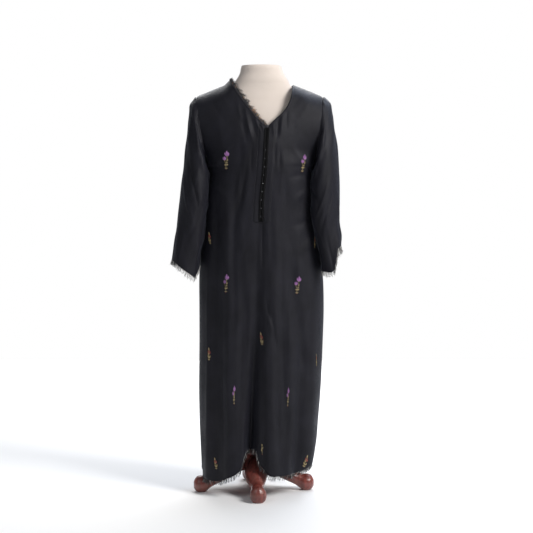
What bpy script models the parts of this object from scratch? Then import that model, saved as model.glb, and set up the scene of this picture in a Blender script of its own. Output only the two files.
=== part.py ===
"""Kurta tunic on a limbless dress form with a four-legged wooden stand.

Metres, +Z up.  -Y is the wearer's front, and +X is the right of a viewer facing that front.
The origin is on the floor, under the middle of the whole.

The cloth is one surface.  At each height the body is a closed superellipse whose left edge, right
edge, front depth and back depth come from BODY_SECTIONS.  Above the underarm it follows the
armholes and rolls over the shoulder seam.  FRONT_FOLDS and BACK_FOLDS push it in and out.
"""

import math

import bmesh
import bpy
import numpy as np

# ---- driving dimensions (metres) ---------------------------------------------------------------
WALL = 0.0020  # cloth wall of the solids
SEAM_GAP = 0.0008  # front to back panel, at side and shoulder seams
SLEEVE_GAP = 0.0016  # sleeve head to armhole
LIFT = 0.0012  # trim above the panel that it is sewn on
NECK_LIFT = 0.0032  # neck trim above the panel, which rolls more sharply there
TRIM_WALL = 0.0012

UNDERARM_Z = 1.050
SHOULDER_Z = 1.266  # outer end of the shoulder seam
SLIT_TOP_Z = 0.470
SLIT_LOW_Z = 0.050
# how much of its quarter turn a panel gives up at the hem, at its left and its right edge
FRONT_SLIT = (0.21, 0.21)
BACK_SLIT = (0.05, 0.04)
NECK_LEFT = (-0.088, 1.329)
NECK_RIGHT = (0.1145, 1.3127)
V_POINT = (0.036, 1.1735)
BACK_NECK_DROP = 0.014
SHOULDER_ROLL = 0.050  # height over which the cloth rolls to the shoulder seam
ARMHOLE_HALF_DEPTH = 0.076
RIDGE_RISE = 0.9  # slope of the unseen ridge across the neck hole
RISE_Z = 1.040  # above this the rows of the panels bend to follow the shoulders and the neck
RISE_SHARE = 0.36  # share of the rows above it
SIDE_POWER = 2.3

PLACKET_END_Z = 0.885
PLACKET_LEAN = 0.022  # how far the front leans to the left, from LEAN_TOP_Z down to LEAN_LOW_Z
LEAN_TOP_Z = 1.330
LEAN_LOW_Z = 0.700
PLACKET_BAND = 0.029  # width of each band beside the opening
PLACKET_SLIT = 0.0024
BEAD_COUNT = 9
BEAD_RADIUS = 0.0022
BEAD_GAP = 0.0004
BEAD_LOW_Z = 0.893
BEAD_HIGH_Z = 1.100
BAND_DROP = 0.0105  # the bands end this far below the neckline, under its trim
PLACKET_HEEL = 0.012  # how far the bands run on below the opening's end
SHOULDER_MIDDLE = 0.0075
SHOULDER_HALF = 0.2035
HEM_HALF = 0.172
SLEEVE_ROUND = 24
CUFF_DIP_FROM = 5.0  # the sleeve ring from which the cuff's dip starts to show

HEM_FRINGE = 0.017
CUFF_FRINGE = 0.017
FRINGE_GAP = 0.0028  # between a panel's edge and the fringe below it
FRINGE_INSET = 0.0004
LACE_INTO_NECK = 0.008
LACE_ONTO_CLOTH = 0.005
NECK_BINDING = 0.0045
STRIP_STOP = 0.005  # neck trim ends this far, across, from the shoulder seams

# the front neckline: x, height, from the left neck point down to the V and up to the right one
FRONT_NECK_LEFT = (
    (-0.0880, 1.3290),
    (-0.0580, 1.2835),
    (-0.0277, 1.2412),
    (0.0000, 1.2062),
    (0.0186, 1.1878),
    (0.0360, 1.1735),
)
FRONT_NECK_RIGHT = (
    (0.0360, 1.1735),
    (0.0514, 1.1898),
    (0.0652, 1.2025),
    (0.0791, 1.2150),
    (0.0885, 1.2268),
    (0.0977, 1.2434),
    (0.1046, 1.2630),
    (0.1093, 1.2862),
    (0.1145, 1.3127),
)

# height, left edge, right edge, front depth, back depth, roundness
BODY_SECTIONS = (
    (0.000, -0.180, 0.160, 0.118, 0.116, 2.40),
    (0.045, -0.182, 0.166, 0.120, 0.118, 2.40),
    (0.100, -0.184, 0.180, 0.122, 0.119, 2.40),
    (0.150, -0.186, 0.190, 0.122, 0.119, 2.35),
    (0.230, -0.189, 0.197, 0.122, 0.118, 2.30),
    (0.330, -0.190, 0.204, 0.121, 0.118, 2.25),
    (0.490, -0.188, 0.211, 0.120, 0.118, 2.20),
    (0.600, -0.188, 0.214, 0.120, 0.118, 2.20),
    (0.700, -0.188, 0.211, 0.121, 0.118, 2.20),
    (0.800, -0.182, 0.199, 0.123, 0.115, 2.20),
    (0.860, -0.178, 0.190, 0.125, 0.112, 2.20),
    (0.945, -0.172, 0.183, 0.129, 0.107, 2.25),
    (1.050, -0.158, 0.180, 0.133, 0.102, 2.30),
    (1.120, -0.1703, 0.190, 0.130, 0.104, 2.40),
    (1.180, -0.1809, 0.1987, 0.119, 0.104, 2.40),
    (1.240, -0.1914, 0.2073, 0.099, 0.095, 2.40),
    (1.266, -0.196, 0.211, 0.088, 0.086, 2.40),
    (1.330, -0.198, 0.213, 0.068, 0.066, 2.40),
)

# name, top x, top z, bottom x, bottom z, depth at top, depth at bottom, spread left, spread right
# (a positive depth is a ridge, and a negative one is a trough)
FRONT_FOLDS = (
    ("centre trough", 0.002, 0.690, -0.030, 0.060, -0.004, -0.046, 0.013, 0.019),
    ("pressed ridge", 0.026, 0.730, 0.038, 0.060, 0.003, 0.012, 0.013, 0.032),
    ("left ridge", -0.096, 0.900, -0.086, 0.060, 0.002, 0.010, 0.018, 0.036),
    ("left hollow", -0.134, 0.780, -0.128, 0.060, -0.002, -0.007, 0.016, 0.020),
    ("left edge line", -0.158, 0.700, -0.160, 0.060, 0.001, 0.005, 0.010, 0.012),
    ("right slant", 0.110, 0.700, 0.150, 0.420, -0.002, -0.010, 0.016, 0.016),
    ("right trough", 0.140, 0.480, 0.126, 0.060, -0.004, -0.015, 0.016, 0.015),
    ("right ridge", 0.180, 0.660, 0.165, 0.060, 0.002, 0.008, 0.014, 0.020),
    ("chest fold", -0.052, 1.120, -0.044, 0.860, -0.003, -0.003, 0.010, 0.012),
    ("right chest fold", 0.094, 1.110, 0.086, 0.900, -0.002, -0.003, 0.014, 0.014),
)
BACK_FOLDS = (
    ("middle trough", -0.012, 0.760, 0.010, 0.060, -0.003, -0.026, 0.020, 0.024),
    ("middle ridge", 0.052, 0.820, 0.060, 0.060, 0.003, 0.012, 0.018, 0.026),
    ("left ridge", -0.078, 0.880, -0.064, 0.060, 0.003, 0.013, 0.020, 0.024),
    ("left trough", -0.128, 0.700, -0.118, 0.060, -0.003, -0.015, 0.018, 0.018),
    ("right trough", 0.118, 0.730, 0.108, 0.060, -0.003, -0.017, 0.018, 0.020),
    ("right ridge", 0.162, 0.640, 0.152, 0.060, 0.002, 0.009, 0.016, 0.018),
    ("shoulder blade fold", 0.020, 1.150, 0.012, 0.860, -0.003, -0.004, 0.016, 0.018),
)

# across, hem height: the front hem, with the raised and recessed middle
FRONT_HEM = (
    (-0.200, 0.062),
    (-0.151, 0.052),
    (-0.105, 0.050),
    (-0.062, 0.066),
    (-0.037, 0.081),
    (-0.025, 0.098),
    (-0.018, 0.136),
    (-0.010, 0.148),
    (0.004, 0.151),
    (0.014, 0.148),
    (0.022, 0.124),
    (0.030, 0.107),
    (0.039, 0.096),
    (0.056, 0.077),
    (0.086, 0.071),
    (0.115, 0.072),
    (0.138, 0.075),
    (0.152, 0.083),
    (0.163, 0.098),
    (0.172, 0.118),
    (0.200, 0.145),
)
BACK_HEM = (
    (-0.200, 0.084),
    (-0.110, 0.074),
    (-0.065, 0.082),
    (-0.022, 0.114),
    (0.020, 0.104),
    (0.070, 0.076),
    (0.120, 0.076),
    (0.200, 0.096),
)

# outer x, outer z, inner x, inner z, front depth, back depth, middle y: a ring round the sleeve
LEFT_SLEEVE = (
    (-0.1960, 1.266, -0.1580, 1.050, 0.076, 0.076, 0.000),
    (-0.2090, 1.251, -0.1620, 1.036, 0.077, 0.077, -0.002),
    (-0.2150, 1.226, -0.1610, 1.020, 0.076, 0.077, -0.006),
    (-0.2200, 1.188, -0.1610, 1.002, 0.074, 0.075, -0.012),
    (-0.2260, 1.138, -0.1625, 0.982, 0.070, 0.072, -0.019),
    (-0.2330, 1.073, -0.1655, 0.956, 0.067, 0.069, -0.027),
    (-0.2410, 1.008, -0.1690, 0.926, 0.064, 0.066, -0.035),
    (-0.2495, 0.938, -0.1730, 0.886, 0.061, 0.063, -0.042),
    (-0.2570, 0.864, -0.1755, 0.836, 0.058, 0.061, -0.047),
    (-0.2665, 0.804, -0.1790, 0.788, 0.056, 0.059, -0.050),
    (-0.2730, 0.755, -0.1845, 0.728, 0.055, 0.058, -0.052),
)
RIGHT_SLEEVE = (
    (0.2110, 1.266, 0.1800, 1.050, 0.076, 0.076, 0.000),
    (0.2275, 1.250, 0.1830, 1.036, 0.077, 0.077, -0.002),
    (0.2370, 1.224, 0.1810, 1.020, 0.076, 0.077, -0.006),
    (0.2455, 1.186, 0.1795, 1.001, 0.074, 0.075, -0.012),
    (0.2535, 1.134, 0.1790, 0.980, 0.070, 0.072, -0.019),
    (0.2600, 1.068, 0.1795, 0.954, 0.067, 0.069, -0.027),
    (0.2625, 1.000, 0.1815, 0.922, 0.064, 0.066, -0.035),
    (0.2620, 0.930, 0.1840, 0.884, 0.061, 0.063, -0.042),
    (0.2610, 0.866, 0.1925, 0.842, 0.058, 0.061, -0.047),
    (0.2660, 0.812, 0.2000, 0.790, 0.056, 0.059, -0.050),
    (0.2690, 0.776, 0.2060, 0.738, 0.055, 0.058, -0.052),
)
# how far the cuff's edge is raised, in metres, at angles round it in degrees: 0 is the outside of
# the arm, 90 its front and 180 its inside
LEFT_CUFF = (
    (0, -0.001),
    (45, -0.005),
    (90, -0.020),
    (130, -0.034),
    (155, -0.010),
    (180, 0.015),
    (225, 0.003),
    (270, -0.011),
    (315, -0.006),
    (360, -0.001),
)
RIGHT_CUFF = (
    (0, 0.019),
    (35, 0.024),
    (56, 0.022),
    (66, -0.008),
    (78, -0.038),
    (100, -0.038),
    (135, -0.026),
    (180, -0.018),
    (225, -0.012),
    (270, -0.006),
    (315, 0.008),
    (360, 0.019),
)
# the inner side of the sleeve is carried forward, in front of the body's side, by this much
SLEEVE_SKEW = 0.036

# dress form: height, centre x, centre y, half width, front depth, back depth
FORM_SECTIONS = (
    (0.630, 0.0010, 0.004, 0.150, 0.088, 0.092),
    (0.634, 0.0010, 0.004, 0.157, 0.094, 0.097),
    (0.660, 0.0015, 0.004, 0.162, 0.099, 0.103),
    (0.720, 0.0020, 0.004, 0.163, 0.099, 0.105),
    (0.800, 0.0030, 0.003, 0.148, 0.094, 0.098),
    (0.880, 0.0040, 0.000, 0.128, 0.090, 0.088),
    (0.940, 0.0050, -0.002, 0.124, 0.092, 0.086),
    (1.010, 0.0060, -0.004, 0.138, 0.110, 0.088),
    (1.060, 0.0070, -0.004, 0.146, 0.119, 0.090),
    (1.110, 0.0080, -0.002, 0.150, 0.113, 0.091),
    (1.160, 0.0085, 0.000, 0.158, 0.103, 0.090),
    (1.205, 0.0090, 0.000, 0.166, 0.088, 0.080),
    (1.235, 0.0095, 0.000, 0.166, 0.074, 0.069),
    (1.258, 0.0100, 0.000, 0.160, 0.063, 0.062),
    (1.275, 0.0100, 0.000, 0.139, 0.057, 0.055),
    (1.290, 0.0105, 0.000, 0.119, 0.052, 0.050),
    (1.303, 0.0112, 0.000, 0.102, 0.050, 0.050),
    (1.314, 0.0126, 0.000, 0.0915, 0.050, 0.051),
    (1.328, 0.0142, 0.000, 0.083, 0.051, 0.053),
    (1.345, 0.0142, 0.000, 0.0725, 0.051, 0.053),
    (1.3705, 0.0126, 0.000, 0.0642, 0.052, 0.054),
    (1.3732, 0.0126, 0.000, 0.0632, 0.0512, 0.0532),
)
FORM_ROUNDNESS = 2.15

STAND_X = -0.012
STAND_TURN = math.radians(5.0)
POLE_RADIUS = 0.016
POLE_TOP_Z = 0.6297
POLE_TOP_X = 0.001
HUB_TOP_Z = 0.190
# hub profile: radius, height
HUB_PROFILE = (
    (0.0180, 0.0560),
    (0.0290, 0.0600),
    (0.0350, 0.0700),
    (0.0355, 0.1150),
    (0.0350, 0.1330),
    (0.0300, 0.1400),
    (0.0270, 0.1500),
    (0.0295, 0.1620),
    (0.0270, 0.1740),
    (0.0215, 0.1850),
    (0.0195, HUB_TOP_Z),
)
# leg: distance from the stand's axis, middle height, half height, half width
LEG_SECTIONS = (
    (0.0362, 0.0930, 0.0270, 0.0200),
    (0.0480, 0.0880, 0.0270, 0.0250),
    (0.0640, 0.0800, 0.0260, 0.0320),
    (0.0800, 0.0700, 0.0250, 0.0350),
    (0.0960, 0.0600, 0.0240, 0.0330),
    (0.1120, 0.0500, 0.0220, 0.0260),
    (0.1260, 0.0420, 0.0205, 0.0205),
    (0.1380, 0.0350, 0.0205, 0.0190),
    (0.1490, 0.0290, 0.0225, 0.0215),
    (0.1600, 0.0228, 0.0250, 0.0252),
    (0.1710, 0.0218, 0.0258, 0.0265),
    (0.1820, 0.0218, 0.0245, 0.0245),
    (0.1900, 0.0218, 0.0185, 0.0190),
    (0.1955, 0.0218, 0.0100, 0.0100),
)
HUB_GAP = 0.0009
LEG_KEEL = 0.16  # how far the leg's top rises to a soft keel, as a share of its half height


# ---- small helpers -----------------------------------------------------------------------------
def clear_scene():
    """Removes what the new file holds."""
    for item in list(bpy.data.objects):
        bpy.data.objects.remove(item, do_unlink=True)


def material(name, colour, roughness, metallic=0.0):
    """A Principled material, made once for each name."""
    made = bpy.data.materials.get(name)
    if made:
        return made
    made = bpy.data.materials.new(name)
    made.use_nodes = True
    shader = made.node_tree.nodes["Principled BSDF"]
    shader.inputs["Base Color"].default_value = (*colour, 1.0)
    shader.inputs["Roughness"].default_value = roughness
    shader.inputs["Metallic"].default_value = metallic
    return made


def smooth_curve(at, table_x, table_y):
    """A curve through a table's points, with slopes taken from the neighbouring points."""
    x = np.asarray(table_x, float)
    y = np.asarray(table_y, float)
    slope = np.gradient(y, x)
    at = np.clip(at, x[0], x[-1])
    i = np.clip(np.searchsorted(x, at, side="right") - 1, 0, len(x) - 2)
    step = x[i + 1] - x[i]
    u = (at - x[i]) / step
    return (
        y[i] * (1 + 2 * u) * (1 - u) ** 2
        + slope[i] * step * u * (1 - u) ** 2
        + y[i + 1] * u * u * (3 - 2 * u)
        + slope[i + 1] * step * u * u * (u - 1)
    )


def column(table, index):
    """One column of a table, as an array."""
    return np.array([row[index] for row in table], float)


def smooth_step(value):
    """Rises from 0 to 1 with level ends."""
    value = np.clip(value, 0.0, 1.0)
    return value * value * (3 - 2 * value)


def build(name, points, faces, finish, smooth_angle=40.0):
    """A closed object from points and faces, facing out."""
    mesh = bpy.data.meshes.new(name)
    mesh.from_pydata([tuple(map(float, p)) for p in points], [], [tuple(f) for f in faces])
    work = bmesh.new()
    work.from_mesh(mesh)
    bmesh.ops.recalc_face_normals(work, faces=work.faces)
    work.to_mesh(mesh)
    work.free()
    mesh.shade_smooth()
    mesh.set_sharp_from_angle(angle=math.radians(smooth_angle))
    mesh.materials.append(finish)
    made = bpy.data.objects.new(name, mesh)
    bpy.context.scene.collection.objects.link(made)
    return made


def grid_faces(rows, columns, around=False, skip=None):
    """The four-sided faces of a grid; skip(row, column) leaves a face out."""
    faces = []
    last = columns if around else columns - 1
    for r in range(rows - 1):
        for c in range(last):
            if skip and skip(r, c):
                continue
            d = (c + 1) % columns
            a = r * columns
            faces.append((a + c, a + d, a + columns + d, a + columns + c))
    return faces


def shell(name, outer, inner, finish, around=False, skip=None):
    """A wall between two grids of the same size, closed along every open edge."""
    rows, columns = outer.shape[:2]
    count = rows * columns
    faces = grid_faces(rows, columns, around, skip)
    edges = {}
    for face in faces:
        for i in range(4):
            a, b = face[i], face[(i + 1) % 4]
            if (b, a) in edges:
                del edges[(b, a)]
            else:
                edges[(a, b)] = True
    every = list(faces)
    every += [tuple(i + count for i in reversed(face)) for face in faces]
    every += [(b, a, a + count, b + count) for a, b in edges]
    points = np.vstack([outer.reshape(-1, 3), inner.reshape(-1, 3)])
    used = sorted({i for face in every for i in face})
    place = {old: new for new, old in enumerate(used)}
    return build(name, points[used], [[place[i] for i in face] for face in every], finish)


def grid_normals(points):
    """The unit normal at each point of an open grid."""
    down = np.gradient(points, axis=0)
    across = np.gradient(points, axis=1)
    normal = np.cross(across, down)
    return normal / np.linalg.norm(normal, axis=2, keepdims=True)


# ---- the cloth surface -------------------------------------------------------------------------
def section(z, index):
    """One column of BODY_SECTIONS at height z."""
    return smooth_curve(z, column(BODY_SECTIONS, 0), column(BODY_SECTIONS, index))


def ridge_height(x):
    """Height of the shoulder seam above x; across the neck hole it carries on as an unseen ridge."""
    line_x = (-0.230, -0.196, -0.191, -0.104, NECK_LEFT[0], NECK_RIGHT[0], 0.150, 0.204, 0.211, 0.240)
    line_z = (1.235, 1.266, 1.277, 1.312, NECK_LEFT[1], NECK_RIGHT[1], 1.299, 1.277, 1.266, 1.240)
    inside = np.minimum(x - NECK_LEFT[0], NECK_RIGHT[0] - x)
    return np.interp(x, line_x, line_z) + RIDGE_RISE * np.maximum(inside, 0.0)


def fold_offset(x, z, folds):
    """Sum of the folds: each is a bell across its own line, growing from its top to its bottom."""
    total = np.zeros(np.broadcast(x, z).shape)
    for _, top_x, top_z, end_x, end_z, top_depth, end_depth, left, right in folds:
        along = (top_z - z) / (top_z - end_z)
        middle = top_x + (end_x - top_x) * np.clip(along, 0.0, 1.0)
        depth = top_depth + (end_depth - top_depth) * np.clip(along, 0.0, 1.0)
        fade = smooth_step((top_z - z) / 0.10 + 0.5)
        if end_z > 0.1:
            fade = fade * smooth_step((z - end_z) / 0.10 + 0.5)
        off = x - middle
        spread = np.where(off < 0.0, left, right)
        total = total + depth * fade * np.exp(-((off / spread) ** 2))
    return total


def cloth(x, z, side, lift=0.0):
    """The cloth's point over (x, z): side is -1 for the front and +1 for the back."""
    x, z = np.broadcast_arrays(np.asarray(x, float), np.asarray(z, float))
    left = section(z, 1)
    right = section(z, 2)
    deep = section(z, 3 if side < 0 else 4)
    power = section(z, 5)
    middle = (left + right) / 2
    half = (right - left) / 2
    across = np.clip(np.abs(x - middle) / half, 0.0, 1.0)
    risen = smooth_step((z - UNDERARM_Z) / 0.060)
    rounded = (1 - across**power) ** (1 / power + (1 - 1 / power) * risen)
    armhole_top = np.maximum(ridge_height(x), UNDERARM_Z + 0.1)
    armhole_middle = (UNDERARM_Z + armhole_top) / 2
    armhole_half = (armhole_top - UNDERARM_Z) / 2
    round_arm = 1 - ((z - armhole_middle) / armhole_half) ** 2
    edge = ARMHOLE_HALF_DEPTH * np.sqrt(np.maximum(round_arm, 0.0))
    rolled = np.clip((ridge_height(x) - z) / SHOULDER_ROLL, 0.0, 1.0)
    roll = np.sqrt(1 - (1 - rolled) ** 2)
    depth = edge + (deep * roll - edge) * rounded
    out_x = np.sign(x - middle) * across ** (power - 1) / half
    out_y = np.maximum(1 - across**power, 0.0) ** (1 - 1 / power) / deep
    size = np.hypot(out_x, out_y)
    push = fold_offset(x, z, FRONT_FOLDS if side < 0 else BACK_FOLDS) + lift
    return np.stack(
        [
            x + push * out_x / size,
            side * (depth + SEAM_GAP / 2 + push * out_y / size),
            z,
        ],
        axis=-1,
    )


def share_of_turn(turn):
    """Place across the panel, -1 to 1 and crowded towards the seams, for a turn of -1 to 1."""
    bent = np.sin(np.asarray(turn, float) * math.pi / 2)
    return np.sign(bent) * np.abs(bent) ** (2 / SIDE_POWER)


def turn_at_top(x):
    """The turn whose column ends at x on the shoulder line."""
    share = (x - SHOULDER_MIDDLE) / SHOULDER_HALF
    return math.copysign(2 / math.pi * math.asin(abs(share) ** (SIDE_POWER / 2)), share)


def slit_share(side, turn):
    """How much the panel gives way at the hem, on the side of the turn."""
    left, right = FRONT_SLIT if side < 0 else BACK_SLIT
    return np.where(np.asarray(turn) < 0, left, right)


def column_x(turn, z, side=-1):
    """Base x of a panel column at height z: it leans with the placket and gives way at the slits."""
    slit = slit_share(side, turn) * smooth_step((SLIT_TOP_Z - z) / (SLIT_TOP_Z - SLIT_LOW_Z))
    share = share_of_turn(turn * (1 - slit))
    left = section(z, 1)
    right = section(z, 2)
    lean = PLACKET_LEAN * smooth_step((LEAN_TOP_Z - z) / (LEAN_TOP_Z - LEAN_LOW_Z))
    lean = lean * (side < 0)
    return (left + right) / 2 + (right - left) / 2 * share - lean * (1 - share**2)


def neck_edge(x, side):
    """Height of the neckline over x."""
    if side < 0:
        left = smooth_curve(x, column(FRONT_NECK_LEFT, 0), column(FRONT_NECK_LEFT, 1))
        right = smooth_curve(x, column(FRONT_NECK_RIGHT, 0), column(FRONT_NECK_RIGHT, 1))
        return np.where(np.asarray(x) < V_POINT[0], left, right)
    place = np.clip((x - NECK_LEFT[0]) / (NECK_RIGHT[0] - NECK_LEFT[0]), 0.0, 1.0)
    straight = NECK_LEFT[1] + (NECK_RIGHT[1] - NECK_LEFT[1]) * place
    return straight - BACK_NECK_DROP * np.sin(math.pi * place) ** 0.7


def panel_base(side, turns, rises):
    """Base (x, z) of a panel's grid: turns run from seam to seam, and rises from hem to top edge."""
    turn, rise = np.meshgrid(turns, rises)
    hem_table = FRONT_HEM if side < 0 else BACK_HEM
    hem_x = share_of_turn(turn * (1 - slit_share(side, turn))) * HEM_HALF
    hem = smooth_curve(hem_x, column(hem_table, 0), column(hem_table, 1))
    top_x = SHOULDER_MIDDLE + SHOULDER_HALF * share_of_turn(turn)
    in_neck = (top_x > NECK_LEFT[0]) & (top_x < NECK_RIGHT[0])
    top = np.where(in_neck, neck_edge(top_x, side), ridge_height(top_x))
    low = 1.0 - RISE_SHARE
    z = np.where(
        rise <= low,
        hem + (RISE_Z - hem) * rise / low,
        RISE_Z + (top - RISE_Z) * (rise - low) / RISE_SHARE,
    )
    return column_x(turn, z, side), z


def stretch_between(*stops):
    """Values through the stops, given as (value, how many steps to the next stop)."""
    values = []
    for (start, steps), (end, _) in zip(stops, stops[1:]):
        values += list(np.linspace(start, end, steps, endpoint=False))
    return np.array(values + [stops[-1][0]])


# ---- the garment's pieces ----------------------------------------------------------------------
def cloth_wall(name, x, z, side, finish, lift=0.0, wall=WALL, skip=None):
    """A wall on the cloth surface over a base grid, with its thickness inwards."""
    outer = cloth(x, z, side, lift)
    inner = outer - wall * grid_normals(outer) * -side
    if lift == 0.0:
        keep = side * SEAM_GAP / 2
        inner[..., 1] = np.maximum(inner[..., 1], keep) if side > 0 else np.minimum(inner[..., 1], keep)
    return shell(name, outer, inner, finish, skip=skip)


def panel_turns(side):
    """Column places of a panel: columns meet the neck points and, in front, run beside the opening."""
    neck_left = turn_at_top(NECK_LEFT[0])
    neck_right = turn_at_top(NECK_RIGHT[0])
    if side > 0:
        return stretch_between((-1.0, 9), (neck_left, 9), (neck_right, 8), (1.0, 0))
    slit = turn_at_top(V_POINT[0])
    beside = PLACKET_SLIT / 2 / SHOULDER_HALF
    steep = turn_at_top(0.0977)
    return stretch_between(
        (-1.0, 10),
        (neck_left, 9),
        (slit - beside, 1),
        (slit + beside, 5),
        (steep, 4),
        (neck_right, 9),
        (1.0, 0),
    )


def make_front(finish):
    """The front: V neck, and an opening from the V down to the placket's end."""
    turns = panel_turns(-1)
    x, z = panel_base(-1, turns, np.linspace(0.0, 1.0, 27))
    open_column = int(np.searchsorted(turns, turn_at_top(V_POINT[0]))) - 1

    def skip(row, col):
        return col == open_column and z[row, col] > PLACKET_END_Z

    return cloth_wall("front_panel", x, z, -1, finish, skip=skip)


def make_back(finish):
    """The back, in one piece."""
    x, z = panel_base(1, panel_turns(1), np.linspace(0.0, 1.0, 23))
    return cloth_wall("back_panel", x, z, 1, finish)


def sleeve_points(table, cuff, columns_round, rows, sign):
    """Points of a sleeve's outside: each ring is a stretched round between its outer and inner end."""
    steps = np.arange(len(table))
    along = np.linspace(0, len(table) - 1, rows) if rows else steps
    picked = [smooth_curve(along, steps, column(table, i))[:, None] for i in range(7)]
    outer_x, outer_z, inner_x, inner_z, front, back, middle_y = picked
    angle = np.linspace(0, 2 * math.pi, columns_round, endpoint=False)[None, :]
    cos, sin = np.cos(angle), np.sin(angle)
    x = (outer_x + inner_x) / 2 + (outer_x - inner_x) / 2 * cos
    z = (outer_z + inner_z) / 2 + (outer_z - inner_z) / 2 * cos
    carried = smooth_step(along / 2.5) * (1 - smooth_step((along - 5.5) / 3.5))
    y = middle_y - np.where(sin > 0, front, back) * sin
    y = y - SLEEVE_SKEW * carried[:, None] * (1 - cos) / 2
    x[0] += sign * SLEEVE_GAP
    rise = np.interp(np.degrees(angle), column(cuff, 0), column(cuff, 1))
    weight = smooth_step((along[:, None] - CUFF_DIP_FROM) / (len(table) - 1 - CUFF_DIP_FROM))
    z = z + rise * weight
    return np.stack(np.broadcast_arrays(x, y, z), axis=-1)


def ring_normals(points):
    """Unit normals of a grid that closes round its columns, facing out."""
    down = np.gradient(points, axis=0)
    across = np.roll(points, -1, axis=1) - np.roll(points, 1, axis=1)
    normal = np.cross(across, down)
    normal /= np.linalg.norm(normal, axis=2, keepdims=True)
    middle = points.mean(axis=1, keepdims=True)
    facing = np.sign((normal * (points - middle)).sum(axis=2, keepdims=True).mean())
    return normal * facing


def make_sleeve(name, table, cuff, sign, finish):
    """A three-quarter sleeve, open at the armhole and at the cuff."""
    outer = sleeve_points(table, cuff, SLEEVE_ROUND, 0, sign)
    inner = outer - WALL * ring_normals(outer)
    return shell(name, outer, inner, finish, around=True)


def make_cuff_fringe(name, table, cuff, sign, finish):
    """The reach of the fringe below a cuff."""
    outer = sleeve_points(table, cuff, SLEEVE_ROUND, 0, sign)[-2:]
    step = outer[1] - outer[0]
    step /= np.linalg.norm(step, axis=1, keepdims=True)
    top = outer[1] + FRINGE_GAP * step
    end = outer[1] + CUFF_FRINGE * step
    strip = np.stack([top, end])
    return shell(name, strip, strip - TRIM_WALL * ring_normals(strip), finish, around=True)


def make_hem_fringe(name, side, finish):
    """The reach of the fringe below a hem."""
    x, z = panel_base(side, panel_turns(side)[1:-1], np.array([0.0]))
    x = np.vstack([x, x])
    z = np.vstack([z - HEM_FRINGE, z - FRINGE_GAP])
    return cloth_wall(name, x, z, side, finish, lift=-FRINGE_INSET, wall=TRIM_WALL)


def placket_x(z):
    """Base x of the front opening at height z."""
    return column_x(turn_at_top(V_POINT[0]), z)


def make_placket_band(name, sign, finish):
    """A band beside the front opening, cut off along the neckline above."""
    gap = 0.0008
    wide = np.sort(np.linspace(gap, PLACKET_BAND, 4) * sign)[None, :]
    top_x = V_POINT[0] + wide
    top_z = neck_edge(top_x, -1) - BAND_DROP
    rise = np.linspace(0.0, 1.0, 13)[:, None]
    z = (PLACKET_END_Z - PLACKET_HEEL) + (top_z - PLACKET_END_Z + PLACKET_HEEL) * rise
    x = placket_x(z) + wide
    return cloth_wall(name, x, z, -1, finish, lift=LIFT + TRIM_WALL, wall=TRIM_WALL)


def make_neck_strip(name, side, start, end, steps, into, onto, finish):
    """A strip along the neckline from one x to another, reaching into the opening and onto the cloth."""
    dense = np.linspace(start, end, 400)
    run = np.hypot(np.diff(dense), np.diff(neck_edge(dense, side)))
    gone = np.concatenate([[0.0], np.cumsum(run)])
    edge_x = np.interp(np.linspace(0.0, gone[-1], steps), gone, dense)
    edge_z = neck_edge(edge_x, side)
    run = np.gradient(np.stack([edge_x, edge_z], axis=1), axis=0)
    run /= np.linalg.norm(run, axis=1, keepdims=True)
    out = np.stack([-run[:, 1], run[:, 0]], axis=1)
    out *= np.sign(out[:, 1])[:, None]
    reach = np.array([-onto, (into - onto) / 2, into])[:, None]
    x = edge_x[None, :] + out[None, :, 0] * reach
    z = edge_z[None, :] + out[None, :, 1] * reach
    return cloth_wall(name, x, z, side, finish, lift=NECK_LIFT + TRIM_WALL, wall=TRIM_WALL)


def make_beads(finish):
    """Small round beads along the front opening."""
    heights = np.linspace(BEAD_LOW_Z, BEAD_HIGH_Z, BEAD_COUNT)
    for number, z in enumerate(heights, start=1):
        x = placket_x(z) - BEAD_RADIUS * 1.6
        place = cloth(x, z, -1, LIFT + TRIM_WALL + BEAD_RADIUS + BEAD_GAP)
        work = bmesh.new()
        bmesh.ops.create_icosphere(work, subdivisions=1, radius=BEAD_RADIUS)
        mesh = bpy.data.meshes.new(f"bead_{number}")
        work.to_mesh(mesh)
        work.free()
        mesh.shade_smooth()
        mesh.materials.append(finish)
        made = bpy.data.objects.new(f"bead_{number}", mesh)
        made.location = place
        bpy.context.scene.collection.objects.link(made)


# ---- the dress form and its stand --------------------------------------------------------------
def loft(name, rings, finish, angle=40.0, curved_start=False):
    """A closed solid through rings of points.  A curved start is capped in upright strips."""
    rings = np.asarray(rings)
    rows, count = rings.shape[:2]
    faces = grid_faces(rows, count, around=True)
    if curved_start:
        for i in range(count // 2):
            strip = [i, i + 1, count - i - 1, (count - i) % count]
            faces.append(tuple(dict.fromkeys(strip)))
    else:
        faces.append(tuple(range(count - 1, -1, -1)))
    faces.append(tuple(range((rows - 1) * count, rows * count)))
    return build(name, rings.reshape(-1, 3), faces, finish, angle)


def make_form(finish):
    """The padded torso and its neck, cut flat on top."""
    angle = np.linspace(0, 2 * math.pi, 28, endpoint=False)
    cos, sin = np.cos(angle), np.sin(angle)
    power = 2 / FORM_ROUNDNESS
    rings = []
    for z, x, y, half, front, back in FORM_SECTIONS:
        depth = np.where(sin > 0, back, front)
        ring_x = x + half * np.sign(cos) * np.abs(cos) ** power
        ring_y = y + depth * np.sign(sin) * np.abs(sin) ** power
        rings.append(np.stack([ring_x, ring_y, np.full_like(ring_x, z)], axis=1))
    return loft("dress_form", rings, finish, angle=50.0)


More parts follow.
